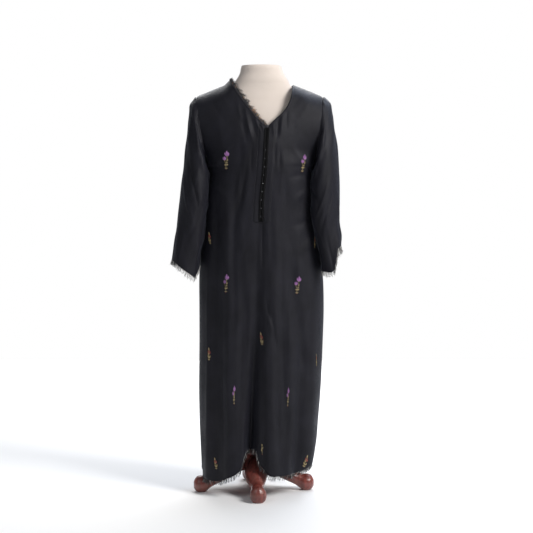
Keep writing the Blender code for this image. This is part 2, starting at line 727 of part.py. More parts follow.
def make_pole(finish):
    """The round pole between the hub and the torso."""
    angle = np.linspace(0, 2 * math.pi, 20, endpoint=False)
    rings = []
    for x, z in ((STAND_X, HUB_TOP_Z + 0.0004), (POLE_TOP_X, POLE_TOP_Z)):
        ring = [(x + POLE_RADIUS * math.cos(a), POLE_RADIUS * math.sin(a), z) for a in angle]
        rings.append(ring)
    return loft("stand_pole", rings, finish)


def make_hub(finish):
    """The turned hub that the pole and the legs are set in."""
    angle = np.linspace(0, 2 * math.pi, 32, endpoint=False)
    rings = [
        [(STAND_X + r * math.cos(a), r * math.sin(a), z) for a in angle] for r, z in HUB_PROFILE
    ]
    return loft("stand_hub", rings, finish)


def make_leg(number, heading, finish):
    """A leg: a knee at the hub, a narrow ankle and a round foot with a flat sole."""
    hub_radius = max(r for r, _ in HUB_PROFILE)
    angle = np.linspace(0, 2 * math.pi, 16, endpoint=False)
    cos, sin = np.cos(angle), np.sin(angle)
    rings = []
    for place, middle, tall, wide in LEG_SECTIONS:
        side = wide * np.sign(cos) * np.abs(cos) ** 0.9
        up = tall * np.sign(sin) * np.abs(sin) ** 0.9
        up = up + LEG_KEEL * tall * np.maximum(sin, 0.0) ** 8
        height = np.maximum(middle + up, 0.0)
        out = np.full_like(side, place)
        if place == LEG_SECTIONS[0][0]:
            out = np.sqrt((hub_radius + HUB_GAP) ** 2 - side**2)
        rings.append(
            np.stack(
                [
                    STAND_X + out * math.cos(heading) - side * math.sin(heading),
                    out * math.sin(heading) + side * math.cos(heading),
                    height,
                ],
                axis=1,
            )
        )
    return loft(f"stand_leg_{number}", rings, finish, curved_start=True)


def main():
    clear_scene()
    black = material("black_crepe", (0.012, 0.012, 0.015), 0.62)
    fringe = material("black_thread_fringe", (0.020, 0.020, 0.022), 0.85)
    lace = material("black_lace", (0.016, 0.015, 0.017), 0.80)
    bead = material("dark_bead", (0.020, 0.020, 0.024), 0.25)
    cream = material("cream_cover", (0.72, 0.64, 0.53), 0.85)
    wood = material("red_brown_wood", (0.135, 0.038, 0.030), 0.42)

    make_front(black)
    make_back(black)
    for name, table, cuff, sign in (
        ("left", LEFT_SLEEVE, LEFT_CUFF, -1),
        ("right", RIGHT_SLEEVE, RIGHT_CUFF, 1),
    ):
        make_sleeve(f"sleeve_{name}", table, cuff, sign, black)
        make_cuff_fringe(f"cuff_fringe_{name}", table, cuff, sign, fringe)
    make_hem_fringe("hem_fringe_front", -1, fringe)
    make_hem_fringe("hem_fringe_back", 1, fringe)
    make_placket_band("placket_left", -1, black)
    make_placket_band("placket_right", 1, black)
    left = NECK_LEFT[0] + STRIP_STOP
    right = NECK_RIGHT[0] - STRIP_STOP
    to_v = V_POINT[0] - STRIP_STOP
    from_v = V_POINT[0] + STRIP_STOP
    make_neck_strip("neck_lace_left", -1, left, to_v, 12, LACE_INTO_NECK, LACE_ONTO_CLOTH, lace)
    make_neck_strip("neck_binding_right", -1, from_v, right, 14, 0.0, NECK_BINDING, black)
    make_neck_strip("neck_binding_back", 1, left, right, 17, 0.0, NECK_BINDING, black)
    make_beads(bead)

    make_form(cream)
    make_pole(wood)
    make_hub(wood)
    for number in range(4):
        make_leg(number + 1, STAND_TURN + math.radians(90 * number - 90), wood)


main()
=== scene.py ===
"""Black kurta tunic on a dress form with a four-legged wooden stand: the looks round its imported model.

Metres, +Z up.  -Y is the wearer's front, and +X is the right of a viewer facing that front.

The body of the garment is one surface.  At each height it is a closed superellipse, whose left edge,
right edge, front depth and back depth come from BODY_SECTIONS; above the underarm it follows the
armholes and rolls over the shoulder seam.  Folds and creases push it in and out along its own
outward direction.  Embroidery, bands and trims lie on that same surface, lifted by their own height.
"""

import math

import bpy
import numpy as np
from bpy.props import FloatProperty, FloatVectorProperty, PointerProperty
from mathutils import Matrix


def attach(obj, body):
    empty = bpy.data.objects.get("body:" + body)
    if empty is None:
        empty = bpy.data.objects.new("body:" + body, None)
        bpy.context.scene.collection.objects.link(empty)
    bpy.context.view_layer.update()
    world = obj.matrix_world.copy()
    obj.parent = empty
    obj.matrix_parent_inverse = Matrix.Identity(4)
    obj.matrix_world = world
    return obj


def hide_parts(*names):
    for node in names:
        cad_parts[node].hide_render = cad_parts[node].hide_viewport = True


bl_info = {
    "name": "Kurta tunic on a dress form",
    "version": (1, 0, 0),
    "blender": (4, 5, 0),
    "location": "3D View > Sidebar > Kurta",
    "description": "Builds a black embroidered kurta tunic on its dress form and wooden stand",
    "category": "Add Mesh",
}

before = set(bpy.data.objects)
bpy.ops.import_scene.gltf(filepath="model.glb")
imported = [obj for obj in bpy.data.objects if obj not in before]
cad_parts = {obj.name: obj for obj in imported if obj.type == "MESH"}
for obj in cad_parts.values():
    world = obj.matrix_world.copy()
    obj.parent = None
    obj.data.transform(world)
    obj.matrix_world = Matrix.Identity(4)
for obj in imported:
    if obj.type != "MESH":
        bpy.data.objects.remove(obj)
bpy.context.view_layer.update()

# ---- the garment's cut and drape (metres) ------------------------------------------------------
# these sizes and tables are the model's own, so that the cloth follows the solids
LIFT = 0.0012  # trim above the cloth that it is sewn on
NECK_LIFT = 0.0032  # neck trim above the cloth, which rolls more sharply there
UNDERARM_Z = 1.050
SHOULDER_Z = 1.266
SLIT_TOP_Z = 0.470
SLIT_LOW_Z = 0.050
FRONT_SLIT = (0.21, 0.21)
BACK_SLIT = (0.05, 0.04)
NECK_LEFT = (-0.088, 1.329)
NECK_RIGHT = (0.1145, 1.3127)
V_POINT = (0.036, 1.1735)
BACK_NECK_DROP = 0.014
SHOULDER_ROLL = 0.050
ARMHOLE_HALF_DEPTH = 0.076
RIDGE_RISE = 0.9
RISE_Z = 1.040
RISE_SHARE = 0.36
SIDE_POWER = 2.3
PLACKET_END_Z = 0.885
PLACKET_LEAN = 0.022
LEAN_TOP_Z = 1.330
LEAN_LOW_Z = 0.700
PLACKET_BAND = 0.029
BEAD_COUNT = 9
BEAD_LOW_Z = 0.893
BEAD_HIGH_Z = 1.100
BAND_DROP = 0.0105
PLACKET_HEEL = 0.012
SHOULDER_MIDDLE = 0.0075
SHOULDER_HALF = 0.2035
HEM_HALF = 0.172
CUFF_DIP_FROM = 5.0

# the front neckline: x, height, from the left neck point down to the V and up to the right one
FRONT_NECK_LEFT = (
    (-0.0880, 1.3290),
    (-0.0580, 1.2835),
    (-0.0277, 1.2412),
    (0.0000, 1.2062),
    (0.0186, 1.1878),
    (0.0360, 1.1735),
)
FRONT_NECK_RIGHT = (
    (0.0360, 1.1735),
    (0.0514, 1.1898),
    (0.0652, 1.2025),
    (0.0791, 1.2150),
    (0.0885, 1.2268),
    (0.0977, 1.2434),
    (0.1046, 1.2630),
    (0.1093, 1.2862),
    (0.1145, 1.3127),
)

# x, height: the shoulder seams, from the left sleeve to the right one
SHOULDER_LINE = (
    (-0.230, 1.235),
    (-0.196, SHOULDER_Z),
    (-0.191, 1.277),
    (-0.104, 1.312),
    NECK_LEFT,
    NECK_RIGHT,
    (0.150, 1.299),
    (0.204, 1.277),
    (0.211, SHOULDER_Z),
    (0.240, 1.240),
)

# height, left edge, right edge, front depth, back depth, roundness
BODY_SECTIONS = (
    (0.000, -0.180, 0.160, 0.118, 0.116, 2.40),
    (0.045, -0.182, 0.166, 0.120, 0.118, 2.40),
    (0.100, -0.184, 0.180, 0.122, 0.119, 2.40),
    (0.150, -0.186, 0.190, 0.122, 0.119, 2.35),
    (0.230, -0.189, 0.197, 0.122, 0.118, 2.30),
    (0.330, -0.190, 0.204, 0.121, 0.118, 2.25),
    (0.490, -0.188, 0.211, 0.120, 0.118, 2.20),
    (0.600, -0.188, 0.214, 0.120, 0.118, 2.20),
    (0.700, -0.188, 0.211, 0.121, 0.118, 2.20),
    (0.800, -0.182, 0.199, 0.123, 0.115, 2.20),
    (0.860, -0.178, 0.190, 0.125, 0.112, 2.20),
    (0.945, -0.172, 0.183, 0.129, 0.107, 2.25),
    (1.050, -0.158, 0.180, 0.133, 0.102, 2.30),
    (1.120, -0.1703, 0.190, 0.130, 0.104, 2.40),
    (1.180, -0.1809, 0.1987, 0.119, 0.104, 2.40),
    (1.240, -0.1914, 0.2073, 0.099, 0.095, 2.40),
    (1.266, -0.196, 0.211, 0.088, 0.086, 2.40),
    (1.330, -0.198, 0.213, 0.068, 0.066, 2.40),
)

# name, top x, top z, bottom x, bottom z, depth at top, depth at bottom, spread left, spread right
# (a positive depth is a ridge, and a negative one is a trough)
FRONT_FOLDS = (
    ("centre trough", 0.002, 0.690, -0.030, 0.060, -0.004, -0.046, 0.013, 0.019),
    ("pressed ridge", 0.026, 0.730, 0.038, 0.060, 0.003, 0.012, 0.013, 0.032),
    ("left ridge", -0.096, 0.900, -0.086, 0.060, 0.002, 0.010, 0.018, 0.036),
    ("left hollow", -0.134, 0.780, -0.128, 0.060, -0.002, -0.007, 0.016, 0.020),
    ("left edge line", -0.158, 0.700, -0.160, 0.060, 0.001, 0.005, 0.010, 0.012),
    ("right slant", 0.110, 0.700, 0.150, 0.420, -0.002, -0.010, 0.016, 0.016),
    ("right trough", 0.140, 0.480, 0.126, 0.060, -0.004, -0.015, 0.016, 0.015),
    ("right ridge", 0.180, 0.660, 0.165, 0.060, 0.002, 0.008, 0.014, 0.020),
    ("chest fold", -0.052, 1.120, -0.044, 0.860, -0.003, -0.003, 0.010, 0.012),
    ("right chest fold", 0.094, 1.110, 0.086, 0.900, -0.002, -0.003, 0.014, 0.014),
)
BACK_FOLDS = (
    ("middle trough", -0.012, 0.760, 0.010, 0.060, -0.003, -0.026, 0.020, 0.024),
    ("middle ridge", 0.052, 0.820, 0.060, 0.060, 0.003, 0.012, 0.018, 0.026),
    ("left ridge", -0.078, 0.880, -0.064, 0.060, 0.003, 0.013, 0.020, 0.024),
    ("left trough", -0.128, 0.700, -0.118, 0.060, -0.003, -0.015, 0.018, 0.018),
    ("right trough", 0.118, 0.730, 0.108, 0.060, -0.003, -0.017, 0.018, 0.020),
    ("right ridge", 0.162, 0.640, 0.152, 0.060, 0.002, 0.009, 0.016, 0.018),
    ("shoulder blade fold", 0.020, 1.150, 0.012, 0.860, -0.003, -0.004, 0.016, 0.018),
)

# across, hem height: the front hem, with the raised and recessed middle
FRONT_HEM = (
    (-0.200, 0.062),
    (-0.151, 0.052),
    (-0.105, 0.050),
    (-0.062, 0.066),
    (-0.037, 0.081),
    (-0.025, 0.098),
    (-0.018, 0.136),
    (-0.010, 0.148),
    (0.004, 0.151),
    (0.014, 0.148),
    (0.022, 0.124),
    (0.030, 0.107),
    (0.039, 0.096),
    (0.056, 0.077),
    (0.086, 0.071),
    (0.115, 0.072),
    (0.138, 0.075),
    (0.152, 0.083),
    (0.163, 0.098),
    (0.172, 0.118),
    (0.200, 0.145),
)
BACK_HEM = (
    (-0.200, 0.084),
    (-0.110, 0.074),
    (-0.065, 0.082),
    (-0.022, 0.114),
    (0.020, 0.104),
    (0.070, 0.076),
    (0.120, 0.076),
    (0.200, 0.096),
)

# outer x, outer z, inner x, inner z, front depth, back depth, middle y: a ring round the sleeve
LEFT_SLEEVE = (
    (-0.1960, 1.266, -0.1580, 1.050, 0.076, 0.076, 0.000),
    (-0.2090, 1.251, -0.1620, 1.036, 0.077, 0.077, -0.002),
    (-0.2150, 1.226, -0.1610, 1.020, 0.076, 0.077, -0.006),
    (-0.2200, 1.188, -0.1610, 1.002, 0.074, 0.075, -0.012),
    (-0.2260, 1.138, -0.1625, 0.982, 0.070, 0.072, -0.019),
    (-0.2330, 1.073, -0.1655, 0.956, 0.067, 0.069, -0.027),
    (-0.2410, 1.008, -0.1690, 0.926, 0.064, 0.066, -0.035),
    (-0.2495, 0.938, -0.1730, 0.886, 0.061, 0.063, -0.042),
    (-0.2570, 0.864, -0.1755, 0.836, 0.058, 0.061, -0.047),
    (-0.2665, 0.804, -0.1790, 0.788, 0.056, 0.059, -0.050),
    (-0.2730, 0.755, -0.1845, 0.728, 0.055, 0.058, -0.052),
)
RIGHT_SLEEVE = (
    (0.2110, 1.266, 0.1800, 1.050, 0.076, 0.076, 0.000),
    (0.2275, 1.250, 0.1830, 1.036, 0.077, 0.077, -0.002),
    (0.2370, 1.224, 0.1810, 1.020, 0.076, 0.077, -0.006),
    (0.2455, 1.186, 0.1795, 1.001, 0.074, 0.075, -0.012),
    (0.2535, 1.134, 0.1790, 0.980, 0.070, 0.072, -0.019),
    (0.2600, 1.068, 0.1795, 0.954, 0.067, 0.069, -0.027),
    (0.2625, 1.000, 0.1815, 0.922, 0.064, 0.066, -0.035),
    (0.2620, 0.930, 0.1840, 0.884, 0.061, 0.063, -0.042),
    (0.2610, 0.866, 0.1925, 0.842, 0.058, 0.061, -0.047),
    (0.2660, 0.812, 0.2000, 0.790, 0.056, 0.059, -0.050),
    (0.2690, 0.776, 0.2060, 0.738, 0.055, 0.058, -0.052),
)
# how far the cuff's edge is raised, in metres, at angles round it in degrees: 0 is the outside of
# the arm, 90 its front and 180 its inside
LEFT_CUFF = (
    (0, -0.001),
    (45, -0.005),
    (90, -0.020),
    (130, -0.034),
    (155, -0.010),
    (180, 0.015),
    (225, 0.003),
    (270, -0.011),
    (315, -0.006),
    (360, -0.001),
)
RIGHT_CUFF = (
    (0, 0.019),
    (35, 0.024),
    (56, 0.022),
    (66, -0.008),
    (78, -0.038),
    (100, -0.038),
    (135, -0.026),
    (180, -0.018),
    (225, -0.012),
    (270, -0.006),
    (315, 0.008),
    (360, 0.019),
)
# the inner side of the sleeve is carried forward, in front of the body's side, by this much
SLEEVE_SKEW = 0.036
SLEEVE_OVER = 0.010  # how far the inner side lies over the body
SLEEVE_LAP = 0.005  # how far the head laps over the shoulder's end
SLEEVE_PUFF = 0.0075  # how far the head stands up there
SLEEVE_PUCKER = 0.0011  # height of the small puckers of the eased head
SLEEVE_COLUMNS = 84
SLEEVE_ROWS = 170

# fine creases: start x, start z, end x, end z, depth (negative is a trough), half width, bow
FRONT_CREASES = (
    # broad soft falls of the chest and skirt
    (-0.030, 1.060, -0.050, 0.800, 0.0060, 0.016, 0.002),
    (-0.062, 1.050, -0.075, 0.700, -0.0055, 0.014, 0.003),
    (-0.092, 0.980, -0.088, 0.550, 0.0060, 0.016, -0.002),
    (-0.130, 1.000, -0.128, 0.500, -0.0055, 0.014, 0.002),
    (0.006, 0.900, -0.008, 0.600, -0.0045, 0.012, 0.000),
    (0.060, 0.940, 0.062, 0.500, 0.0060, 0.022, 0.003),
    (0.104, 0.840, 0.112, 0.600, -0.0040, 0.014, -0.003),
    (-0.085, 0.650, -0.086, 0.200, 0.0065, 0.018, 0.002),
    (-0.036, 0.600, -0.034, 0.180, -0.0080, 0.018, 0.000),
    (0.046, 0.620, 0.052, 0.100, 0.0065, 0.019, 0.002),
    (0.080, 1.100, 0.120, 0.940, 0.0040, 0.018, 0.004),
    (-0.118, 1.200, -0.100, 1.080, 0.0035, 0.018, 0.003),
    (0.130, 1.220, 0.104, 1.110, -0.0035, 0.018, 0.003),
    # gathers that run down from the left edge of the V
    (-0.037, 1.229, -0.015, 1.132, 0.0034, 0.0050, 0.002),
    (-0.050, 1.214, -0.030, 1.120, -0.0024, 0.0066, 0.001),
    (-0.021, 1.210, -0.002, 1.140, -0.0026, 0.0054, 0.001),
    (-0.006, 1.203, 0.010, 1.158, 0.0034, 0.0036, 0.001),
    (0.012, 1.190, 0.021, 1.157, 0.0018, 0.0030, 0.000),
    (-0.062, 1.250, -0.046, 1.190, 0.0020, 0.0060, 0.002),
    # puckers at the right of the V
    (0.067, 1.202, 0.061, 1.138, -0.0036, 0.0062, -0.001),
    (0.050, 1.188, 0.054, 1.142, 0.0024, 0.0040, 0.001),
    (0.080, 1.212, 0.074, 1.150, 0.0026, 0.0058, 0.001),
    (0.093, 1.228, 0.092, 1.170, -0.0018, 0.0055, 0.000),
    # soft folds beside the opening
    (-0.029, 1.082, -0.062, 0.905, -0.0046, 0.0085, -0.004),
    (-0.046, 1.070, -0.080, 0.900, 0.0028, 0.0105, -0.004),
    (-0.0162, 1.112, -0.0185, 1.030, -0.0024, 0.0048, 0.001),
    (0.0560, 1.116, 0.0562, 1.058, -0.0022, 0.0044, 0.000),
    (0.0715, 1.104, 0.0710, 1.040, -0.0024, 0.0062, 0.001),
    (0.0840, 1.070, 0.0800, 0.930, 0.0024, 0.0100, 0.004),
    (0.0040, 0.960, 0.0100, 0.850, -0.0022, 0.0090, 0.000),
    (0.0171, 0.892, 0.0168, 0.722, -0.0030, 0.0042, 0.001),
    (0.0340, 0.880, 0.0360, 0.760, 0.0020, 0.0090, 0.001),
    # drag lines from the underarms and across the waist
    (-0.152, 1.046, -0.086, 1.112, 0.0034, 0.0090, 0.006),
    (-0.152, 1.022, -0.078, 1.030, -0.0032, 0.0090, -0.006),
    (-0.156, 0.990, -0.092, 0.946, 0.0028, 0.0100, -0.005),
    (-0.166, 0.905, -0.094, 0.868, -0.0028, 0.0110, 0.004),
    (-0.168, 0.842, -0.112, 0.792, 0.0024, 0.0110, 0.004),
    (0.174, 1.046, 0.112, 1.108, 0.0034, 0.0090, -0.006),
    (0.174, 1.018, 0.104, 1.016, -0.0032, 0.0095, 0.006),
    (0.176, 0.980, 0.112, 0.936, 0.0028, 0.0100, 0.005),
    (0.182, 0.896, 0.108, 0.862, -0.0030, 0.0110, -0.004),
    (0.190, 0.836, 0.130, 0.780, 0.0026, 0.0110, -0.004),
    # shoulders
    (-0.150, 1.268, -0.100, 1.192, -0.0020, 0.0095, 0.004),
    (-0.120, 1.292, -0.084, 1.228, 0.0018, 0.0085, 0.002),
    (0.166, 1.262, 0.122, 1.190, 0.0022, 0.0090, -0.004),
    (0.140, 1.284, 0.112, 1.236, -0.0016, 0.0080, -0.002),
    # long soft lines of the skirt, and the crumples to the right of the pressed ridge
    (-0.1570, 0.690, -0.1580, 0.150, 0.0030, 0.0048, 0.000),
    (-0.1110, 0.640, -0.1080, 0.110, -0.0034, 0.0090, 0.003),
    (-0.0640, 0.840, -0.0660, 0.330, 0.0020, 0.0090, -0.004),
    (-0.0480, 0.600, -0.0540, 0.120, -0.0026, 0.0080, 0.002),
    (0.0270, 0.640, 0.0420, 0.566, -0.0030, 0.0060, 0.002),
    (0.0330, 0.580, 0.0480, 0.520, 0.0030, 0.0060, -0.002),
    (0.0450, 0.606, 0.0600, 0.482, -0.0034, 0.0070, 0.003),
    (0.0580, 0.560, 0.0720, 0.470, 0.0024, 0.0080, 0.002),
    (0.0760, 0.760, 0.0900, 0.240, -0.0024, 0.0085, 0.004),
    (0.0980, 0.620, 0.1060, 0.180, 0.0028, 0.0100, -0.003),
    (0.0620, 0.420, 0.0700, 0.100, -0.0020, 0.0075, 0.001),
    (0.1700, 0.600, 0.1660, 0.200, -0.0024, 0.0065, 0.001),
    (0.1400, 0.900, 0.1300, 0.700, 0.0020, 0.0120, 0.004),
)
BACK_CREASES = (
    (-0.040, 1.290, -0.070, 1.180, 0.0026, 0.0110, 0.004),
    (0.060, 1.284, 0.090, 1.170, -0.0024, 0.0110, -0.004),
    (0.012, 1.290, 0.010, 1.150, 0.0018, 0.0120, 0.000),
    (-0.150, 1.040, -0.070, 1.120, 0.0034, 0.0095, 0.008),
    (-0.152, 1.016, -0.060, 1.040, -0.0032, 0.0100, -0.006),
    (-0.158, 0.968, -0.080, 0.920, 0.0028, 0.0110, 0.006),
    (0.172, 1.040, 0.090, 1.116, 0.0034, 0.0095, -0.008),
    (0.172, 1.010, 0.080, 1.026, -0.0030, 0.0100, 0.006),
    (0.176, 0.960, 0.100, 0.912, 0.0030, 0.0110, -0.005),
    (-0.168, 0.880, -0.060, 0.840, -0.0028, 0.0120, 0.006),
    (0.184, 0.884, 0.070, 0.846, -0.0030, 0.0120, -0.006),
    (-0.030, 1.000, -0.048, 0.780, 0.0026, 0.0110, -0.005),
    (0.040, 0.980, 0.060, 0.760, -0.0026, 0.0110, 0.005),
    (-0.156, 0.660, -0.158, 0.180, 0.0030, 0.0060, 0.002),
    (-0.096, 0.700, -0.088, 0.160, -0.0032, 0.0090, 0.004),
    (-0.030, 0.640, -0.034, 0.140, 0.0030, 0.0085, -0.003),
    (0.032, 0.700, 0.026, 0.180, -0.0030, 0.0085, 0.003),
    (0.086, 0.760, 0.084, 0.160, 0.0030, 0.0095, -0.003),
    (0.138, 0.620, 0.130, 0.140, -0.0030, 0.0085, 0.003),
    (0.176, 0.560, 0.170, 0.180, 0.0026, 0.0060, 0.001),
    (0.000, 0.470, 0.018, 0.390, 0.0024, 0.0070, 0.003),
)
# the same round a sleeve: across is the ring's turn times SLEEVE_REACH, and up is the ring's number
# times SLEEVE_STEP, both from the sleeve head down
SLEEVE_REACH = 0.062
SLEEVE_STEP = 0.050
SLEEVE_CREASES = (
    (0.240, 0.010, 0.262, 0.190, -0.0036, 0.0090, 0.004),
    (0.290, 0.020, 0.316, 0.240, 0.0030, 0.0100, -0.003),
    (0.212, 0.060, 0.196, 0.260, 0.0030, 0.0080, 0.004),
    (0.330, 0.040, 0.300, 0.160, -0.0028, 0.0080, 0.002),
    (0.196, 0.180, 0.262, 0.330, -0.0034, 0.0085, 0.004),
    (0.170, 0.250, 0.238, 0.370, 0.0034, 0.0080, -0.004),
    (0.300, 0.270, 0.238, 0.340, 0.0034, 0.0075, 0.004),
    (0.320, 0.310, 0.256, 0.390, -0.0036, 0.0080, -0.003),
    (0.206, 0.350, 0.270, 0.430, 0.0030, 0.0080, 0.003),
    (0.284, 0.380, 0.300, 0.500, -0.0030, 0.0085, 0.002),
    (0.232, 0.400, 0.226, 0.500, 0.0030, 0.0085, 0.002),
    (0.052, 0.020, 0.040, 0.220, 0.0030, 0.0090, -0.003),
    (0.098, 0.040, 0.112, 0.200, -0.0030, 0.0090, 0.003),
    (0.126, 0.100, 0.086, 0.300, 0.0030, 0.0085, 0.004),
    (0.060, 0.240, 0.130, 0.330, -0.0034, 0.0080, 0.003),
    (0.036, 0.290, 0.110, 0.370, 0.0034, 0.0080, -0.003),
    (0.150, 0.300, 0.092, 0.410, -0.0034, 0.0085, 0.003),
    (0.070, 0.390, 0.062, 0.500, 0.0030, 0.0090, 0.002),
    (0.132, 0.380, 0.140, 0.500, 0.0030, 0.0085, -0.002),
    (0.372, 0.060, 0.366, 0.240, -0.0028, 0.0085, 0.002),
    (0.350, 0.330, 0.380, 0.470, 0.0028, 0.0085, 0.002),
    (0.008, 0.120, 0.018, 0.300, 0.0026, 0.0085, 0.002),
    (0.020, 0.360, 0.012, 0.500, -0.0028, 0.0090, 0.002),
    (0.172, 0.420, 0.168, 0.500, -0.0028, 0.0075, 0.001),
)

# embroidered sprigs: kind, middle x, middle z, turn in degrees, share of the full width that shows
FRONT_SPRIGS = (
    ("purple", -0.098, 1.070, 4, 1.0),
    ("purple", 0.144, 1.061, -3, 1.0),
    ("purple", -0.097, 0.683, 2, 1.0),
    ("purple", 0.127, 0.677, -2, 1.0),
    ("purple", -0.072, 0.331, 3, 0.45),
    ("purple", 0.096, 0.324, -2, 0.36),
    ("red", -0.152, 0.825, 3, 1.0),
    ("red", 0.182, 0.812, -2, 0.50),
    ("red", 0.013, 0.509, 2, 1.0),
    ("red", -0.153, 0.456, -2, 0.75),
    ("red", 0.186, 0.436, 3, 0.30),
    ("red", -0.136, 0.107, 12, 0.75),
    ("red", 0.153, 0.112, -22, 0.95),
    ("gold", 0.015, 0.158, 0, 1.0),
)
BACK_SPRIGS = (
    ("purple", -0.094, 1.080, -3, 1.0),
    ("purple", 0.110, 1.074, 4, 1.0),
    ("purple", -0.098, 0.690, 2, 1.0),
    ("purple", 0.116, 0.684, -3, 1.0),
    ("purple", -0.090, 0.318, -2, 1.0),
    ("purple", 0.098, 0.322, 2, 1.0),
    ("red", 0.008, 1.226, 2, 1.0),
    ("red", -0.150, 0.872, 2, 1.0),
    ("red", 0.010, 0.884, -2, 1.0),
    ("red", 0.170, 0.866, 3, 1.0),
    ("red", 0.006, 0.500, 2, 1.0),
    ("red", -0.154, 0.470, -3, 1.0),
    ("red", 0.182, 0.462, 2, 1.0),
    ("red", -0.134, 0.130, 2, 1.0),
    ("red", 0.140, 0.128, -3, 1.0),
    ("gold", 0.004, 0.172, 0, 1.0),
)

# dress form: height, centre x, centre y, half width, front depth, back depth
FORM_SECTIONS = (
    (0.630, 0.0010, 0.004, 0.150, 0.088, 0.092),
    (0.634, 0.0010, 0.004, 0.157, 0.094, 0.097),
    (0.660, 0.0015, 0.004, 0.162, 0.099, 0.103),
    (0.720, 0.0020, 0.004, 0.163, 0.099, 0.105),
    (0.800, 0.0030, 0.003, 0.148, 0.094, 0.098),
    (0.880, 0.0040, 0.000, 0.128, 0.090, 0.088),
    (0.940, 0.0050, -0.002, 0.124, 0.092, 0.086),
    (1.010, 0.0060, -0.004, 0.138, 0.110, 0.088),
    (1.060, 0.0070, -0.004, 0.146, 0.119, 0.090),
    (1.110, 0.0080, -0.002, 0.150, 0.113, 0.091),
    (1.160, 0.0085, 0.000, 0.158, 0.103, 0.090),
    (1.205, 0.0090, 0.000, 0.166, 0.088, 0.080),
    (1.235, 0.0095, 0.000, 0.166, 0.074, 0.069),
    (1.258, 0.0100, 0.000, 0.160, 0.063, 0.062),
    (1.275, 0.0100, 0.000, 0.139, 0.057, 0.055),
    (1.290, 0.0105, 0.000, 0.119, 0.052, 0.050),
    (1.303, 0.0112, 0.000, 0.102, 0.050, 0.050),
    (1.314, 0.0126, 0.000, 0.0915, 0.050, 0.051),
    (1.328, 0.0142, 0.000, 0.083, 0.051, 0.053),
    (1.345, 0.0142, 0.000, 0.0725, 0.051, 0.053),
    (1.3705, 0.0126, 0.000, 0.0642, 0.052, 0.054),
    (1.3732, 0.0126, 0.000, 0.0632, 0.0512, 0.0532),
)
FORM_ROUNDNESS = 2.15

STAND_X = -0.012
STAND_TURN = math.radians(5.0)
POLE_RADIUS = 0.016
POLE_TOP_Z = 0.6297
POLE_TOP_X = 0.001
HUB_TOP_Z = 0.190
# hub profile: radius, height
HUB_PROFILE = (
    (0.0180, 0.0560),
    (0.0290, 0.0600),
    (0.0350, 0.0700),
    (0.0355, 0.1150),
    (0.0350, 0.1330),
    (0.0300, 0.1400),
    (0.0270, 0.1500),
    (0.0295, 0.1620),
    (0.0270, 0.1740),
    (0.0215, 0.1850),
    (0.0195, HUB_TOP_Z),
)
# leg: distance from the stand's axis, middle height, half height, half width
LEG_SECTIONS = (
    (0.0362, 0.0930, 0.0270, 0.0200),
    (0.0480, 0.0880, 0.0270, 0.0250),
    (0.0640, 0.0800, 0.0260, 0.0320),
    (0.0800, 0.0700, 0.0250, 0.0350),
    (0.0960, 0.0600, 0.0240, 0.0330),
    (0.1120, 0.0500, 0.0220, 0.0260),
    (0.1260, 0.0420, 0.0205, 0.0205),
    (0.1380, 0.0350, 0.0205, 0.0190),
    (0.1490, 0.0290, 0.0225, 0.0215),
    (0.1600, 0.0228, 0.0250, 0.0252),
    (0.1710, 0.0218, 0.0258, 0.0265),
    (0.1820, 0.0218, 0.0245, 0.0245),
    (0.1900, 0.0218, 0.0185, 0.0190),
    (0.1955, 0.0218, 0.0100, 0.0100),
)
LEG_KEEL = 0.16


# ---- curves and meshes -------------------------------------------------------------------------
def smooth_curve(at, table_x, table_y):
    """A cubic through a table's points, with slopes taken from the neighbouring points."""
    x = np.asarray(table_x, float)
    y = np.asarray(table_y, float)
    slope = np.gradient(y, x)
    at = np.clip(at, x[0], x[-1])
    i = np.clip(np.searchsorted(x, at, side="right") - 1, 0, len(x) - 2)
    step = x[i + 1] - x[i]
    u = (at - x[i]) / step
    return (
        y[i] * (1 + 2 * u) * (1 - u) ** 2
        + slope[i] * step * u * (1 - u) ** 2
        + y[i + 1] * u * u * (3 - 2 * u)
        + slope[i + 1] * step * u * u * (u - 1)
    )


def column(table, index):
    """One column of a table, as an array."""
    return np.array([row[index] for row in table], float)


def smooth_step(value):
    """Rises from 0 to 1 with level ends."""
    value = np.clip(value, 0.0, 1.0)
    return value * value * (3 - 2 * value)


def unit(vectors):
    """The vectors along the last axis, each divided by its own length."""
    return vectors / np.maximum(np.linalg.norm(vectors, axis=-1, keepdims=True), 1e-12)


def put_mesh(name, points, faces, finish, uv=None, tints=None):
    """An object from arrays: points, a list of face arrays (3 or 4 corners), UV and tint by point."""
    mesh = bpy.data.meshes.new(name)
    points = np.ascontiguousarray(points, np.float32).reshape(-1, 3)
    faces = [np.asarray(f, np.int32) for f in faces if len(f)]
    corners = np.concatenate([f.ravel() for f in faces])
    sizes = np.concatenate([np.full(len(f), f.shape[1], np.int32) for f in faces])
    mesh.vertices.add(len(points))
    mesh.vertices.foreach_set("co", points.ravel())
    mesh.loops.add(len(corners))
    mesh.loops.foreach_set("vertex_index", corners)
    mesh.polygons.add(len(sizes))
    mesh.polygons.foreach_set("loop_start", np.cumsum(sizes) - sizes)
    mesh.update(calc_edges=True)
    if uv is not None:
        layer = mesh.uv_layers.new(name="Cloth")
        flat = np.asarray(uv, np.float32).reshape(-1, 2)
        layer.data.foreach_set("uv", flat[corners].ravel())
    if tints is not None:
        layer = mesh.attributes.new("tint", "FLOAT", "POINT")
        layer.data.foreach_set("value", np.asarray(tints, np.float32).ravel())
    mesh.shade_smooth()
    mesh.materials.append(finish)
    made = bpy.data.objects.new(name, mesh)
    bpy.context.scene.collection.objects.link(made)
    return made


